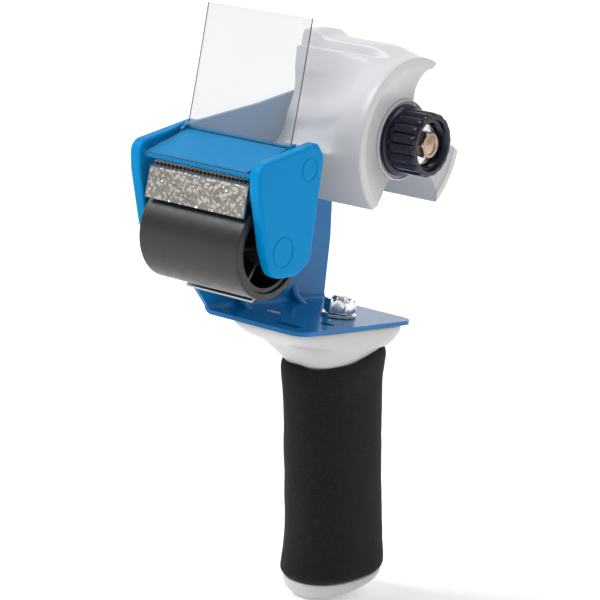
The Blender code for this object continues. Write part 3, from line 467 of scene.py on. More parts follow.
def bent_frame():
    """One painted sheet: plate, quarter-round bend, wall, pressed gussets, slots and holes."""
    plate = prism("painted_frame", rounded([
        ((-PLATE_HALF_WIDTH - 1, -PLATE_HALF_DEPTH), 0.0),
        ((PLATE_HALF_WIDTH, -PLATE_HALF_DEPTH), 7.0),
        ((PLATE_HALF_WIDTH, PLATE_HALF_DEPTH), 7.0),
        ((-PLATE_HALF_WIDTH - 1, PLATE_HALF_DEPTH), 0.0),
    ], 14), -SHEET, 0.0, "z")
    middle = Vector((-PLATE_HALF_WIDTH, BEND_RADIUS))
    quarter = [math.radians(180 + 90 * k / 14) for k in range(15)]
    inner = [middle + Vector((math.cos(a), math.sin(a))) * BEND_RADIUS for a in quarter]
    outer = [middle + Vector((math.cos(a), math.sin(a))) * (BEND_RADIUS + SHEET) for a in quarter]
    bend = prism("bend", inner + outer[::-1], -PLATE_HALF_DEPTH, PLATE_HALF_DEPTH, "y")
    wall = prism("wall", rounded([
        ((PLATE_HALF_DEPTH, 1.5), 0.0), ((42.5, 30.0), 4.0),
        ((HUB_Y + 24.0, HUB_Z + 2.0), 16.0), ((HUB_Y + 8.0, HUB_Z + 18.0), 12.0),
        ((-22.0, 93.5), 30.0), ((-71.5, 84.3), 4.0), ((-82.0, 60.0), 8.0), ((-83.5, 32.0), 9.0),
        ((-66.0, 24.0), 8.0), ((-PLATE_HALF_DEPTH, 1.5), 0.0),
    ], 12), WALL_OUTER, WALL_INNER)
    ribs = [gusset(y) for y in GUSSET_PLACES]
    combine(plate, [bend, wall] + ribs, "UNION")
    cutters = [prism("slot", oval(*one), -10, 10, "z") for one in SLOTS]
    holes = [(HUB_Y, HUB_Z, HUB_ROOM), (ROLLER_Y, ROLLER_Z, AXLE_ROOM), (TIE_Y, TIE_Z, TIE_ROOM)]
    holes += [(y, z, RIVET_ROOM) for y, z in GUIDE_RIVETS]
    cutters += [turned("hole", [(-40, r), (-20, r)], y, z, 40) for y, z, r in holes]
    stud = upright_circle(STUD_ROOM, 0.0, *STUD, 40)
    cutters.append(prism("stud_hole", stud, -10, 10, "z"))
    combine(plate, cutters, "DIFFERENCE")
    soften(plate, 0.35, 3, 30.0)
    return finish_piece(plate, PAINT, "root", ["side_frame"], sharp=60)


def gusset(y):
    """Rounded rib in the inside corner of the bend."""
    reach = 10.0
    rings = []
    for k in range(9):
        a = math.pi * k / 8 - math.pi / 2
        across = 2.2 * math.sin(a)
        lower = 1.6 * (1.0 - math.cos(a))
        rings.append([
            (WALL_INNER - 1.2, y + across, -1.2), (WALL_INNER + reach - lower, y + across, -1.2),
            (WALL_INNER + reach * 0.30 - lower * 0.5, y + across, reach * 0.30 - lower * 0.5),
            (WALL_INNER - 1.2, y + across, reach - lower),
        ])
    bm = bmesh.new()
    loft(bm, rings)
    return mesh_object("gusset", bm)


# ---------------------------------------------------------------- yoke

SOCKET_START, SOCKET_END = -50.0, 34.6
CHEEK_SOFTNESS = 1.3
CHEEK_NEAR = (30.6, 36.6)
CHEEK_FAR = (-36.8, -30.8)
BROW_REAR = Vector((-70.4, 82.5))
BROW_FRONT = Vector((-93.0, 73.7))
SLOPE = (BROW_FRONT - BROW_REAR).normalized()
INWARD = Vector((-SLOPE.y, SLOPE.x))
BROW_THICKNESS = 3.0


def cheek_outline():
    return rounded([
        ((-97.8, 76.5), 6.0), ((-60.0, 86.2), 3.0), ((-54.5, 80.5), 6.0), ((-56.0, 34.5), 6.0),
        ((-64.0, 28.8), 9.0), ((-80.0, 27.8), 9.0), ((-86.8, 40.0), 6.0), ((-95.5, 64.0), 10.0),
    ], 12)


def inset(outline, amount):
    """Outline moved inwards by an amount, corner by corner."""
    count = len(outline)
    area = sum(
        outline[k].x * outline[(k + 1) % count].y - outline[(k + 1) % count].x * outline[k].y
        for k in range(count)
    )
    side = 1.0 if area > 0 else -1.0
    moved = []
    for k, here in enumerate(outline):
        along = (outline[(k + 1) % count] - outline[k - 1]).normalized()
        moved.append(here + Vector((-along.y, along.x)) * amount * side)
    return moved


def pillow_slab(name, outline, low, high, soft, steps=5):
    """Slab whose two outer edges are rounded over by the softness."""
    rings = []
    for k in range(steps + 1):
        a = math.pi / 2 * k / steps
        ring = inset(outline, soft * (1 - math.sin(a)))
        rings.append([(low + soft * (1 - math.cos(a)), p.x, p.y) for p in ring])
    for k in range(steps + 1):
        a = math.pi / 2 * (steps - k) / steps
        ring = inset(outline, soft * (1 - math.sin(a)))
        rings.append([(high - soft * (1 - math.cos(a)), p.x, p.y) for p in ring])
    bm = bmesh.new()
    loft(bm, rings)
    return mesh_object(name, bm)


def groove_ring(x, y, z, radius, width, depth):
    """Cutter for a thin round mark in a cheek's face."""
    return turned("groove", [
        (x - depth, radius), (x + 2, radius), (x + 2, radius + width), (x - depth, radius + width),
    ], y, z, 72, closed=True)


def moulded_yoke():
    """Two pillowed cheeks, the sloping wall with its fillets, sockets and round marks."""
    outline = cheek_outline()
    near = pillow_slab("moulded_yoke", outline, *CHEEK_NEAR, CHEEK_SOFTNESS)
    far = pillow_slab("far_cheek", outline, *CHEEK_FAR, CHEEK_SOFTNESS)
    rear = BROW_REAR - SLOPE * 3.0
    front = BROW_FRONT + SLOPE * 1.5
    brow = prism("brow", [
        rear, front, front + INWARD * BROW_THICKNESS, rear + INWARD * BROW_THICKNESS,
    ], CHEEK_FAR[1] - 2, CHEEK_NEAR[0] + 2)
    fillets = []
    for x, toward in ((CHEEK_NEAR[0], -1), (CHEEK_FAR[1], 1)):
        fillets.append(brow_fillet(x, toward))
    combine(near, [far, brow] + fillets, "UNION")
    clear = prism("wall_room", [
        Vector((-88.5, 60.0)), Vector((-20.0, 60.0)), Vector((-20.0, 99.0)), Vector((-80.0, 99.0)),
    ], WALL_OUTER - 0.3, WALL_INNER + 0.3)
    cutters = [clear]
    axle_socket = [(SOCKET_START, AXLE_ROOM), (SOCKET_END, AXLE_ROOM)]
    cutters.append(turned("axle_socket", axle_socket, ROLLER_Y, ROLLER_Z, 48))
    tie_socket = [(SOCKET_START, TIE_ROOM), (SOCKET_END, TIE_ROOM)]
    cutters.append(turned("tie_socket", tie_socket, TIE_Y, TIE_Z, 48))
    for y, z, radius in ((ROLLER_Y, ROLLER_Z, 6.2), (TIE_Y, TIE_Z, 4.6)):
        cutters.append(groove_ring(CHEEK_NEAR[1], y, z, radius, 0.55, 0.25))
    combine(near, cutters, "DIFFERENCE")
    return finish_piece(near, YOKE, "root", ["yoke"], sharp=38)


def brow_fillet(x, toward):
    """Concave sweep where the sloping wall meets a cheek."""
    radius = 2.2
    steps = 6
    section = [Vector((0.0, 0.0))]
    for k in range(steps + 1):
        a = math.pi / 2 * k / steps
        section.append(Vector((radius * (1 - math.sin(a)), radius * (1 - math.cos(a)))))
    rings = []
    for along in (-2.6, (BROW_FRONT - BROW_REAR).length + 1.1):
        place = BROW_REAR + SLOPE * along
        rings.append([
            (x + toward * (p.x - 0.4), *(place - INWARD * (p.y - 0.4))) for p in section
        ])
    bm = bmesh.new()
    loft(bm, rings)
    return mesh_object("fillet", bm)


# ---------------------------------------------------------------- handle

RAKE = math.radians(11.3)
HANDLE_TOP = Vector((4.0, 8.5, -2.3))
CORE_HALF = (16.3, 24.0)
FOAM_SPAN = (15.0, 123.5)
FOOT_TILT = -0.11
RING_COUNT = 96


def handle_point(along, x=0.0, y=0.0):
    axis = Vector((0.0, math.sin(RAKE), -math.cos(RAKE)))
    side = Vector((0.0, math.cos(RAKE), math.sin(RAKE)))
    return HANDLE_TOP + axis * along + Vector((x, 0.0, 0.0)) + side * y


def superellipse(half_x, half_y, power, count=RING_COUNT):
    points = []
    for k in range(count):
        c = math.cos(math.tau * k / count)
        s = math.sin(math.tau * k / count)
        points.append((
            math.copysign(abs(c) ** (2.0 / power), c) * half_x,
            math.copysign(abs(s) ** (2.0 / power), s) * half_y,
        ))
    return points


def stem_ring(along, half_x, half_y, power, shift_y=0.0, tilt=0.0):
    return [
        handle_point(along - tilt * y, x, y + shift_y)
        for x, y in superellipse(half_x, half_y, power)
    ]


def flange_ring(z, half_x, half_y, power, centre):
    return [
        Vector((centre[0] + x, centre[1] + y, z))
        for x, y in superellipse(half_x, half_y, power)
    ]


def curved_rings(rings, steps=4):
    """More rings between the given ones, on a smooth curve through them."""
    made = []
    for index in range(len(rings) - 1):
        p0 = rings[max(index - 1, 0)]
        p1, p2 = rings[index], rings[index + 1]
        p3 = rings[min(index + 2, len(rings) - 1)]
        for step in range(steps):
            t = step / steps
            made.append([
                0.5 * (2 * b + (c - a) * t + (2 * a - 5 * b + 4 * c - d) * t * t
                       + (3 * b - a - 3 * c + d) * t * t * t)
                for a, b, c, d in zip(p0, p1, p2, p3)
            ])
    made.append(rings[-1])
    return made


def moulded_handle():
    """Flange, flaring neck and oval stem, with the stud's bore and the locating lug."""
    top = -SHEET - 0.3
    flange = [
        flange_ring(top, 23.7, 38.4, 6.0, (1.0, 2.0)),
        flange_ring(top - 0.5, 24.25, 38.95, 6.0, (1.0, 2.0)),
        flange_ring(top - 3.0, 24.3, 38.5, 5.6, (1.2, 2.4)),
        flange_ring(top - 6.5, 23.0, 35.5, 4.6, (2.0, 4.0)),
        flange_ring(top - 9.5, 20.8, 31.0, 3.6, (3.0, 6.5)),
        stem_ring(13.0, 18.0, 26.2, 2.8),
        stem_ring(16.0, 16.8, 24.6, 2.4),
        stem_ring(19.0, *CORE_HALF, 2.3),
    ]
    foot = stem_ring(123.0, *CORE_HALF, 2.3, tilt=FOOT_TILT)
    bm = bmesh.new()
    loft(bm, curved_rings(flange) + [foot])
    core = mesh_object("moulded_handle", bm)
    bore = upright_circle(4.6, 0.0, *STUD, 40)
    combine(core, [prism("stud_bore", bore, -45, 10, "z")], "DIFFERENCE")
    x, y, length, width = SLOTS[0]
    lug = prism("lug", oval(x, y, length - 1.2, width - 1.2), -5.0, 0.2, "z")
    combine(core, [lug], "UNION")
    return finish_piece(core, HANDLE_WHITE, "root", ["handle_core"], sharp=45)


def foam_sleeve():
    """Pressed-on foam tube: wavy mouth, slight dents, a swell round the foot and porous skin."""
    start, end = FOAM_SPAN
    outline = [
        (start + 0.3, 17.6, 26.0, 0.4, 0.0), (start, 18.6, 27.2, 0.4, 0.0),
        (start + 1.2, 19.4, 28.2, 0.6, 0.0),
        (start + 4.0, 19.8, 28.7, 0.8, 0.0), (start + 9.0, 19.6, 28.0, 0.5, 0.0),
        (start + 18.0, 19.2, 27.1, 0.1, 0.0), (start + 40.0, 19.0, 26.6, 0.0, 0.0),
        (end - 45.0, 19.0, 26.6, 0.0, 0.0), (end - 26.0, 19.0, 26.8, 0.0, -0.03),
        (end - 14.0, 19.3, 27.8, -0.5, -0.07), (end - 7.0, 19.7, 28.8, -1.0, -0.09),
        (end - 2.5, 19.8, 29.1, -1.4, FOOT_TILT), (end - 0.8, 19.5, 28.6, -1.3, FOOT_TILT),
        (end, 18.8, 27.8, -1.2, FOOT_TILT),
    ]
    rings = [stem_ring(a, hx, hy, 2.25, s, t) for a, hx, hy, s, t in outline]
    rings = curved_rings(rings, 6)
    for index, ring in enumerate(rings):
        share = index / (len(rings) - 1)
        mouth = max(0.0, 1.0 - share * 9.0)
        for k, point in enumerate(ring):
            here = handle_point((HANDLE_TOP.z - point.z) / math.cos(RAKE))
            out = (point - here).normalized()
            dent = noise.noise(point * 0.055) * 0.45
            dent += noise.noise(point * 0.16 + Vector((7, 3, 1))) * 0.16
            ring[k] = point + out * (dent - 0.25)
            angle = math.tau * k / RING_COUNT
            ring[k].z += mouth * (0.9 * math.sin(angle * 3.0 + 0.6) + 0.5 * math.sin(angle * 7.0))
    bore = (CORE_HALF[0] + 0.3, CORE_HALF[1] + 0.3)
    inside = [
        stem_ring(end, *bore, 2.3, tilt=FOOT_TILT), stem_ring(start + 5.0, *bore, 2.3),
        stem_ring(start + 0.8, 17.2, 25.3, 2.5),
    ]
    bm = bmesh.new()
    loft(bm, rings + inside, closed=True)
    sleeve = mesh_object("foam_sleeve", bm)
    finish_piece(sleeve, FOAM, "root", ["foam_grip"], sharp=75)
    return sleeve


def end_plug():
    """Domed plug at the foot, with its countersunk screw way."""
    foot = FOAM_SPAN[1] + 0.4
    start = 123.3
    stem = [
        stem_ring(start, *CORE_HALF, 2.3, tilt=FOOT_TILT),
        stem_ring(foot + 0.4, *CORE_HALF, 2.3, tilt=FOOT_TILT),
    ]
    button = [
        stem_ring(foot + 0.6, 18.0, 26.6, 2.25, -1.4, FOOT_TILT),
        stem_ring(foot + 1.2, 18.6, 27.2, 2.25, -1.4, FOOT_TILT),
        stem_ring(foot + 3.2, 18.6, 27.2, 2.25, -1.4, -0.07),
        stem_ring(foot + 5.6, 17.2, 25.2, 2.25, -1.4, -0.03),
        stem_ring(foot + 7.0, 14.0, 21.0, 2.25, -1.4),
        stem_ring(foot + 7.4, 9.5, 15.0, 2.25, -1.4),
    ]
    bm = bmesh.new()
    loft(bm, stem + curved_rings(button))
    plug = mesh_object("end_plug", bm)
    bm = bmesh.new()
    rings = []
    stations = ((start - 8, 2.1), (foot + 4.4, 2.1), (foot + 4.4, 4.0), (foot + 24.4, 4.0))
    for along, radius in stations:
        rings.append([handle_point(along, p.x, p.y) for p in upright_circle(radius, 0.0, count=40)])
    loft(bm, rings)
    combine(plug, [mesh_object("screw_way", bm)], "DIFFERENCE")
    return finish_piece(plug, HANDLE_WHITE, "root", ["handle_end_cap"], sharp=45)


def hex_rings(flats, low, high, chamfer, count=96):
    """Chamfered hexagon as stacked rings along Z."""
    outer = []
    for k in range(count):
        angle = math.tau * k / count
        local = (angle + math.pi / 6) % (math.pi / 3) - math.pi / 6
        outer.append((angle, flats / 2 / math.cos(local)))
    rings = []
    corner = flats / 2 / math.cos(math.pi / 6)
    levels = (
        (low, flats / 2), (low + chamfer, corner), (high - chamfer, corner), (high, flats / 2),
    )
    for z, limit in levels:
        reach = [(a, min(r, limit)) for a, r in outer]
        rings.append([Vector((r * math.cos(a), r * math.sin(a), z)) for a, r in reach])
    return rings


def plate_nut():
    """Chamfered hexagon nut with a countersunk bore."""
    x, y = STUD
    rings = hex_rings(13.0, 1.9, 8.3, 0.9)
    for z, radius in ((8.3, 5.0), (7.6, 4.3), (2.6, 4.3), (1.9, 5.0)):
        rings.append(upright_circle(radius, z))
    bm = bmesh.new()
    loft(bm, rings, closed=True)
    nut = mesh_object("plate_nut", bm)
    nut.data.transform(Matrix.Translation((x, y, 0.0)))
    return finish_piece(nut, CHROME, "root", ["handle_nut"], sharp=30)


def threaded_stud():
    """Stud with a real helical thread on its upper end and a domed tip."""
    x, y = STUD
    pitch = 1.25
    rings = []
    low, high = -44.0, 9.8
    steps = 260
    for k in range(steps + 1):
        z = 1.8 + (high - 0.5 - 1.8) * k / steps
        ring = []
        for j in range(48):
            angle = math.tau * j / 48
            phase = (z / pitch - j / 48) % 1.0
            radius = 4.0 - 0.55 * (1.0 - abs(2.0 * phase - 1.0))
            radius = min(radius, 4.0 - max(0.0, z - (high - 1.6)) * 0.5)
            ring.append(Vector((x + radius * math.cos(angle), y + radius * math.sin(angle), z)))
        rings.append(ring)
    shank = ((low, 3.6), (low + 0.4, 4.0), (1.6, 4.0))
    plain = [upright_circle(radius, z, x, y, 48) for z, radius in shank]
    tip = [upright_circle(2.6, high, x, y, 48)]
    bm = bmesh.new()
    loft(bm, plain + rings + tip)
    stud = mesh_object("threaded_stud", bm)
    return finish_piece(stud, CHROME, "root", ["handle_stud"], sharp=40)


# ---------------------------------------------------------------- hub and knob

HUB_RADIUS = 38.0
HUB_LOW, HUB_HIGH = -26.0, 34.0
HUB_FACE = 27.4
LOBE_MIDDLE = math.radians(92.5)
LOBE_HALF = math.radians(20.5)
LOBE_STEPS = 24
SCOOP_STEPS = 9
SCOOP = (
    (38.0, 20.5), (38.0, 20.5), (30.0, 26.5), (24.0, 31.0), (19.0, 42.0), (17.2, 60.0),
    (17.2, 78.0), (18.0, 97.0), (24.0, 108.5), (30.5, 108.0), (38.0, 99.5), (38.0, 99.5),
)
# Along X: filling of the front scoop, spring rise on the top lobe, scale
HUB_STATIONS = (
    (-26.0, 0.0, 4.5, 0.985), (-25.6, 0.0, 5.8, 0.997), (-25.2, 0.0, 6.2, 1.0),
    (-22.0, 0.01, 6.5, 1.0), (-18.0, 0.02, 6.4, 1.0), (-15.5, 0.04, 5.0, 1.0),
    (-13.0, 0.06, 4.0, 1.0), (-6.0, 0.15, 3.8, 1.0), (4.0, 0.38, 3.7, 1.0),
    (14.0, 0.68, 3.6, 1.0), (18.0, 0.79, 3.0, 1.0), (22.0, 0.88, 1.8, 1.0),
    (26.0, 0.95, 0.8, 1.0), (29.0, 1.0, 0.3, 1.0), (32.4, 1.0, 0.0, 1.0),
    (33.2, 1.0, 0.0, 0.996), (33.7, 1.0, 0.0, 0.988), (34.0, 1.0, 0.0, 0.972),
)


def spline(p0, p1, p2, p3, t):
    return 0.5 * (
        2 * p1 + (p2 - p0) * t + (2 * p0 - 5 * p1 + 4 * p2 - p3) * t * t
        + (3 * p1 - p0 - 3 * p2 + p3) * t * t * t
    )


def lobe_outline():
    """Three swept lobes with finger scoops between them."""
    outline = []
    for lobe in range(3):
        middle = LOBE_MIDDLE + math.tau / 3 * lobe
        for k in range(LOBE_STEPS + 1):
            angle = middle - LOBE_HALF + 2 * LOBE_HALF * k / LOBE_STEPS
            outline.append(Vector((HUB_RADIUS * math.cos(angle), HUB_RADIUS * math.sin(angle))))
        points = [
            Vector((r * math.cos(middle + math.radians(a)), r * math.sin(middle + math.radians(a))))
            for r, a in SCOOP
        ]
        for start in range(len(points) - 3):
            for k in range(SCOOP_STEPS):
                if start or k:
                    outline.append(spline(*points[start:start + 4], k / SCOOP_STEPS))
    return outline


def filled_outline(outline):
    """The same outline with its first scoop out to the rim."""
    start = LOBE_MIDDLE + LOBE_HALF
    sweep = math.tau / 3 - 2 * LOBE_HALF
    per_lobe = len(outline) // 3
    filled = list(outline)
    for index in range(LOBE_STEPS + 1, per_lobe):
        angle = start + sweep * (index - LOBE_STEPS) / (per_lobe - LOBE_STEPS)
        filled[index] = Vector((HUB_RADIUS * math.cos(angle), HUB_RADIUS * math.sin(angle)))
    return filled


def hub_ring(x, fill, rise, size, lobed, filled):
    points = []
    for index, (open_point, full_point) in enumerate(zip(lobed, filled)):
        place = open_point.lerp(full_point, fill) * size
        if index <= LOBE_STEPS:
            across = abs(2.0 * index / LOBE_STEPS - 1.0)
            lift = rise * max(0.0, min(1.0, (0.74 - across) / 0.10))
            groove = 0.8 if 0.76 < across < 0.90 and x < 24.0 else 0.0
            place = place * (1.0 + (lift - groove) / HUB_RADIUS)
        points.append(Vector((x, HUB_Y + place.x, HUB_Z + place.y)))
    return points


def lobe_pocket(degrees):
    """Cutter for the hollow inside a lobe, open to the far end."""
    middle = math.radians(degrees)
    half = math.radians(11.0)
    outer = [middle - half + 2 * half * k / 12 for k in range(13)]
    root = middle + math.radians(9.5)
    inner = [root + half - 2 * half * k / 6 for k in range(7)]
    outline = [Vector((HUB_Y + 35.2 * math.cos(a), HUB_Z + 35.2 * math.sin(a))) for a in outer]
    outline += [Vector((HUB_Y + 20.5 * math.cos(a), HUB_Z + 20.5 * math.sin(a))) for a in inner]
    return prism("pocket", outline, HUB_LOW - 5, HUB_FACE - 9.0)


def drum_rib(degrees):
    """Short rounded rib on the bridged side, near the far end."""
    a = math.radians(degrees)
    out = Vector((math.cos(a), math.sin(a)))
    side = Vector((-out.y, out.x))
    rings = []
    for x, height in ((-9.0, -0.4), (-8.0, 0.25), (-6.5, 0.5), (3.0, 0.5), (5.5, 0.3), (7.5, -0.4)):
        ring = []
        for k in range(13):
            b = math.pi * k / 12
            reach = HUB_RADIUS - 1.0 + (height + 1.0) * math.sin(b)
            place = out * reach + side * 1.1 * math.cos(b)
            ring.append(Vector((x, HUB_Y + place.x, HUB_Z + place.y)))
        rings.append(ring)
    bm = bmesh.new()
    loft(bm, rings)
    return mesh_object("rib", bm)


def lobed_hub():
    """Lobed drum with its dish, brake pocket, lobe pockets, raised lip and short ribs."""
    lobed = lobe_outline()
    filled = filled_outline(lobed)
    bm = bmesh.new()
    loft(bm, [hub_ring(*station, lobed, filled) for station in HUB_STATIONS])
    hub = mesh_object("lobed_hub", bm)
    cutters = [lobe_pocket(92.5 + 120.0 * k) for k in range(3)]
    cutters.append(turned("dish", [
        (HUB_FACE, 0.001), (HUB_FACE, 18.4), (HUB_FACE + 0.8, 19.2),
        (HUB_HIGH - 1.2, HUB_RADIUS - 4.8),
        (HUB_HIGH + 1.0, HUB_RADIUS - 3.2), (HUB_HIGH + 1.0, 0.001),
    ], HUB_Y, HUB_Z, 120))
    cutters.append(turned("brake_pocket", [(14.0, 11.5), (40.0, 11.5)], HUB_Y, HUB_Z, 80))
    cutters.append(turned("bore", [(HUB_LOW - 5, 4.9), (40.0, 4.9)], HUB_Y, HUB_Z, 60))
    combine(hub, cutters, "DIFFERENCE")
    lip = turned("lip", [
        (HUB_FACE - 0.2, 17.6), (HUB_FACE + 1.5, 17.6),
        (HUB_FACE + 1.7, 17.8), (HUB_FACE + 1.7, 18.1),
        (HUB_FACE + 1.5, 18.3), (HUB_FACE - 0.2, 18.3),
    ], HUB_Y, HUB_Z, 120, closed=True)
    ribs = [drum_rib(degrees) for degrees in (190.0, 198.0, 206.0)]
    combine(hub, [lip] + ribs, "UNION")
    return finish_piece(hub, WHITE, "hub", ["hub_drum"], sharp=42)


KNOB_RIBS = 18
KNOB_FLANGE = 28.6
KNOB_END = 45.5
KNOB_RADIUS = 14.8


def knob_ring(x, radius, depth, count=KNOB_RIBS * 16):
    """Rounded ribs with narrow valleys."""
    points = []
    for k in range(count):
        angle = math.tau * k / count
        wave = abs(math.sin(angle * KNOB_RIBS / 2)) ** 0.7
        reach = radius - depth * (1 - wave)
        points.append(Vector((x, HUB_Y + reach * math.cos(angle), HUB_Z + reach * math.sin(angle))))
    return points


def ribbed_knob():
    """Knob with a round flange, rounded ribs and a stepped recess."""
    body = KNOB_FLANGE + 3.2
    stations = [
        (KNOB_FLANGE, KNOB_RADIUS + 1.1, 0.0), (KNOB_FLANGE + 0.3, KNOB_RADIUS + 1.6, 0.0),
        (KNOB_FLANGE + 1.4, KNOB_RADIUS + 1.6, 0.0), (KNOB_FLANGE + 1.9, KNOB_RADIUS + 1.1, 0.0),
        (KNOB_FLANGE + 2.3, KNOB_RADIUS - 0.4, 0.1), (body, KNOB_RADIUS - 0.3, 0.6),
        (body + 0.9, KNOB_RADIUS, 1.25), (KNOB_END - 4.0, KNOB_RADIUS, 1.3),
        (KNOB_END - 1.8, KNOB_RADIUS - 0.1, 1.2), (KNOB_END - 0.8, KNOB_RADIUS - 0.4, 0.9),
        (KNOB_END - 0.2, KNOB_RADIUS - 1.0, 0.4), (KNOB_END, KNOB_RADIUS - 1.7, 0.1),
    ]
    bm = bmesh.new()
    loft(bm, [knob_ring(*station) for station in stations])
    knob = mesh_object("ribbed_knob", bm)
    recess = turned("recess", [
        (KNOB_END - 6.5, 0.001), (KNOB_END - 6.5, 9.8),
        (KNOB_END - 2.0, 10.2), (KNOB_END - 1.9, 11.0),
        (KNOB_END - 0.4, 11.5), (KNOB_END + 1.0, 12.8), (KNOB_END + 1.0, 0.001),
    ], HUB_Y, HUB_Z, 96)
    bore = turned("bore", [(KNOB_FLANGE - 5, 4.8), (KNOB_END, 4.8)], HUB_Y, HUB_Z, 60)
    combine(knob, [recess, bore], "DIFFERENCE")
    return finish_piece(knob, BLACK, "knob", ["brake_knob"], sharp=45)


def knob_nut():
    """Chamfered hex with a domed centre in the knob's recess."""
    floor = KNOB_END - 6.5
    rings = hex_rings(11.2, floor + 1.8, floor + 5.2, 0.5)
    for height, radius in ((5.25, 4.4), (4.7, 4.1), (4.75, 3.0), (5.1, 1.6), (5.2, 0.4)):
        rings.append(upright_circle(radius, floor + height))
    bm = bmesh.new()
    loft(bm, rings)
    nut = mesh_object("knob_nut", bm)
    turn = Matrix.Rotation(math.pi / 2, 4, "Y")
    nut.data.transform(Matrix.Translation((0.0, HUB_Y, HUB_Z)) @ turn)
    room = turned("room", [(floor, 4.8), (floor + 3.0, 4.8)], HUB_Y, HUB_Z, 60)
    combine(nut, [room], "DIFFERENCE")
    return finish_piece(nut, COPPER, "knob", ["knob_insert"], sharp=30)


# ---------------------------------------------------------------- roller, rest plate, clear sheet

ROLLER_SPAN = (-26.0, 30.0)
RUBBER_RADII = (22.0, 19.2)
RUBBER_SOFTNESS = 0.9


def rubber_tube():
    """Rubber sleeve with rounded rims."""
    low, high = ROLLER_SPAN
    soft = RUBBER_SOFTNESS
    outer, inner = RUBBER_RADII
    profile = [(low, inner)]
    profile += [(low + soft * (1 - math.cos(a)), outer - soft * (1 - math.sin(a)))
                for a in (math.pi / 2 * k / 5 for k in range(6))]
    profile += [(high - soft * (1 - math.cos(a)), outer - soft * (1 - math.sin(a)))
                for a in (math.pi / 2 * (5 - k) / 5 for k in range(6))]
    profile.append((high, inner))
    tube = turned("rubber_tube", profile, ROLLER_Y, ROLLER_Z, 160, closed=True)
    return finish_piece(tube, RUBBER, "roller", ["roller_sleeve"], sharp=60)


REST_TOP = Vector((-95.0, 67.0))
REST_FOOT = Vector((-96.5, 53.7))
REST_INSET = 0.4


def crinkled_plate():
    """Rest plate whose face is stamped with a fine crinkle, over its folded flange."""
    thickness = 1.0
    under = BROW_REAR + INWARD * (BROW_THICKNESS + 1.4)
    rear = under + SLOPE * 12.5
    bend = under + SLOPE * 23.5
    down = (REST_FOOT - REST_TOP).normalized()
    back = Vector((-down.y, down.x))
    if back.x < 0.0:
        back = -back
    front = [rear, bend, REST_TOP, REST_FOOT]
    behind = [
        REST_FOOT + back * thickness, REST_TOP + back * thickness + Vector((0.2, -0.4)),
        bend + INWARD * thickness + Vector((0.3, 0.0)), rear + INWARD * thickness,
    ]
    low = ROLLER_SPAN[0] + REST_INSET
    high = ROLLER_SPAN[1] - REST_INSET
    columns = 150
    rows = 38
    face = [REST_TOP.lerp(REST_FOOT, k / rows) for k in range(rows + 1)]
    rings = []
    for c in range(columns + 1):
        x = low + (high - low) * c / columns
        ring = [Vector((x, p.x, p.y)) for p in front[:2]]
        for k, p in enumerate(face):
            edge = min(c, columns - c, k, rows - k) / 3.0
            share = max(0.0, min(1.0, edge))
            at = Vector((x * 0.80, p.x * 0.2, p.y * 0.28))
            dent = noise.noise(at) * 0.55 + noise.noise(at * 2.3 + Vector((4, 9, 2))) * 0.30
            place = p - back * (max(-0.45, min(0.45, dent)) - 0.1) * share
            ring.append(Vector((x, place.x, place.y)))
        ring += [Vector((x, p.x, p.y)) for p in behind]
        rings.append(ring)
    bm = bmesh.new()
    loft(bm, rings)
    plate = mesh_object("crinkled_plate", bm)
    return finish_piece(plate, CRINKLED, "root", ["rest_plate"], sharp=40)


def sheet_leaf(name, corners, low, high, body, replaced, look):
    """Thin clear sheet, (y, z) corners along one side; its edge faces get a dark, nearly opaque
    colour, a painted reflection.
    """
    foot, top = corners
    along = (top - foot).normalized()
    across = Vector((-along.y, along.x)) * 0.4
    height = (top - foot).length
    steps = 24
    bm = bmesh.new()
    rings = []
    for k in range(steps + 1):
        place = foot + along * height * k / steps
        sag = math.sin(math.pi * k / steps) * 0.25
        place = place - across.normalized() * sag
        rings.append([
            Vector((low, *(place + across))), Vector((high, *(place + across))),
            Vector((high, *(place - across))), Vector((low, *(place - across))),
        ])
    loft(bm, rings)
    leaf = mesh_object(name, bm)
    finish_piece(leaf, look, body, [replaced], sharp=30)
    # The edge faces get the dark, nearly opaque painted reflection.
    leaf.data.materials.append(DARK_EDGE_PAINTED_REFLECTION)
    for face in leaf.data.polygons:
        normal = face.normal
        if abs(normal.x) > 0.5 or abs(normal.y * along.x + normal.z * along.y) > 0.9:
            face.material_index = 1
    return leaf


FLAP_FOOT = BROW_REAR - INWARD * 0.7 - SLOPE * 0.3
FLAP_TOP = Vector((-65.5, 138.0))
FLAP_SIDES = (-28.0, 30.0)
STRIP_SIDES = (-28.1, 30.0)


def clear_flap():
    """Leaf that presses the tape down."""
    along = (FLAP_TOP - FLAP_FOOT).normalized()
    ends = (FLAP_FOOT + along * 0.8, FLAP_TOP)
    return sheet_leaf("clear_flap", ends, *FLAP_SIDES, "flap", "tape_flap", CLEAR)


def clear_strip():
    """The flap's fixed foot on the sloping wall."""
    rear = BROW_REAR + SLOPE * 0.6 - INWARD * 0.7
    front = BROW_FRONT + SLOPE * 4.2 - INWARD * 0.7
    return sheet_leaf("clear_foot", (rear, front), *STRIP_SIDES, "root", "flap_foot", CLEAR_STRIP)


# ---------------------------------------------------------------- build

bent_frame()
moulded_yoke()
moulded_handle()
foam_sleeve()
end_plug()
plate_nut()
threaded_stud()
lobed_hub()
ribbed_knob()
knob_nut()
rubber_tube()
crinkled_plate()
clear_flap()
clear_strip()

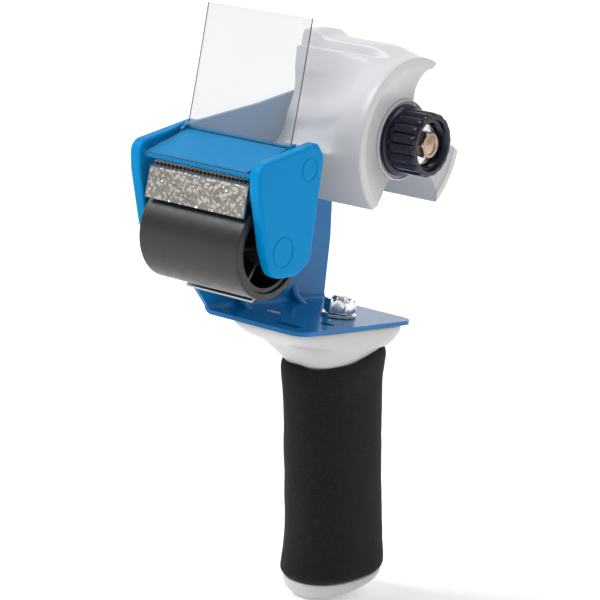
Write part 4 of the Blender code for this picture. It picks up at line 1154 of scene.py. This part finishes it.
BRIGHT_NODES = (
    "roller_axle", "yoke_tie_rod", "hub_axle", "axle_collar",
    "handle_washer", "knob_washer", "handle_end_screw", "blade_screw_far",
    "blade_screw_near", "guide_rivet_lower", "guide_rivet_upper", "pressure_washer",
    "thrust_washer",
)
for node in BRIGHT_NODES:
    keep(node, CHROME)
keep("roller_core", CORE)
keep("tape_guide", ZINC)
keep("blade", BLADE_STEEL)
keep("brake_spring", BLADE_STEEL)
keep("friction_washer", FIBRE)
keep("roller_bush_far", WHITE)
keep("roller_bush_near", WHITE)


# ---------------------------------------------------------------- floor, light, view

FLOOR_GLOW = 0.22


def studio_floor():
    """Pale sweep: a floor that curves up behind the object."""
    made, tree, shader = base_material("studio_white")
    tint = mix_colour(tree, noise_at(tree, 3.0, 2.0), (0.93, 0.93, 0.93), (0.96, 0.96, 0.96))
    tree.links.new(tint.outputs["Result"], shader.inputs["Base Color"])
    shader.inputs["Roughness"].default_value = 0.9
    shader.inputs["Emission Color"].default_value = (1.0, 1.0, 1.0, 1.0)
    shader.inputs["Emission Strength"].default_value = FLOOR_GLOW
    low = cad_low.z - 0.0005
    radius = 0.8
    run = [(-5.0, low), (1.6, low)]
    run += [(1.6 + radius * math.sin(a), low + radius * (1 - math.cos(a)))
            for a in (math.pi / 2 * k / 16 for k in range(1, 17))]
    run.append((1.6 + radius, low + 4.0))
    turn = Matrix.Rotation(CAMERA_AZIMUTH, 4, "Z")
    bm = bmesh.new()
    rows = [[bm.verts.new(turn @ Vector((x, y, z))) for x in (-4.0, 4.0)] for y, z in run]
    for here, after in zip(rows, rows[1:]):
        bm.faces.new((here[0], here[1], after[1], after[0]))
    mesh = bpy.data.meshes.new("studio_floor")
    bm.to_mesh(mesh)
    bm.free()
    floor = bpy.data.objects.new("studio_floor", mesh)
    floor.data.materials.append(made)
    floor.data.shade_smooth()
    bpy.context.scene.collection.objects.link(floor)


studio_floor()
place_camera()
world = bpy.data.worlds.new("studio")
world.use_nodes = True
world.node_tree.nodes["Background"].inputs["Color"].default_value = (1.0, 1.0, 1.0, 1.0)
world.node_tree.nodes["Background"].inputs["Strength"].default_value = 0.45
bpy.context.scene.world = world
bpy.context.scene.view_settings.view_transform = "Standard"
sun_light("key", (-0.60, -0.75, 1.05), 2.3)
area_light("rim", (0.9, 0.5, 0.9), (0.0, 0.0, 0.10), (0.5, 0.8), 3.0)
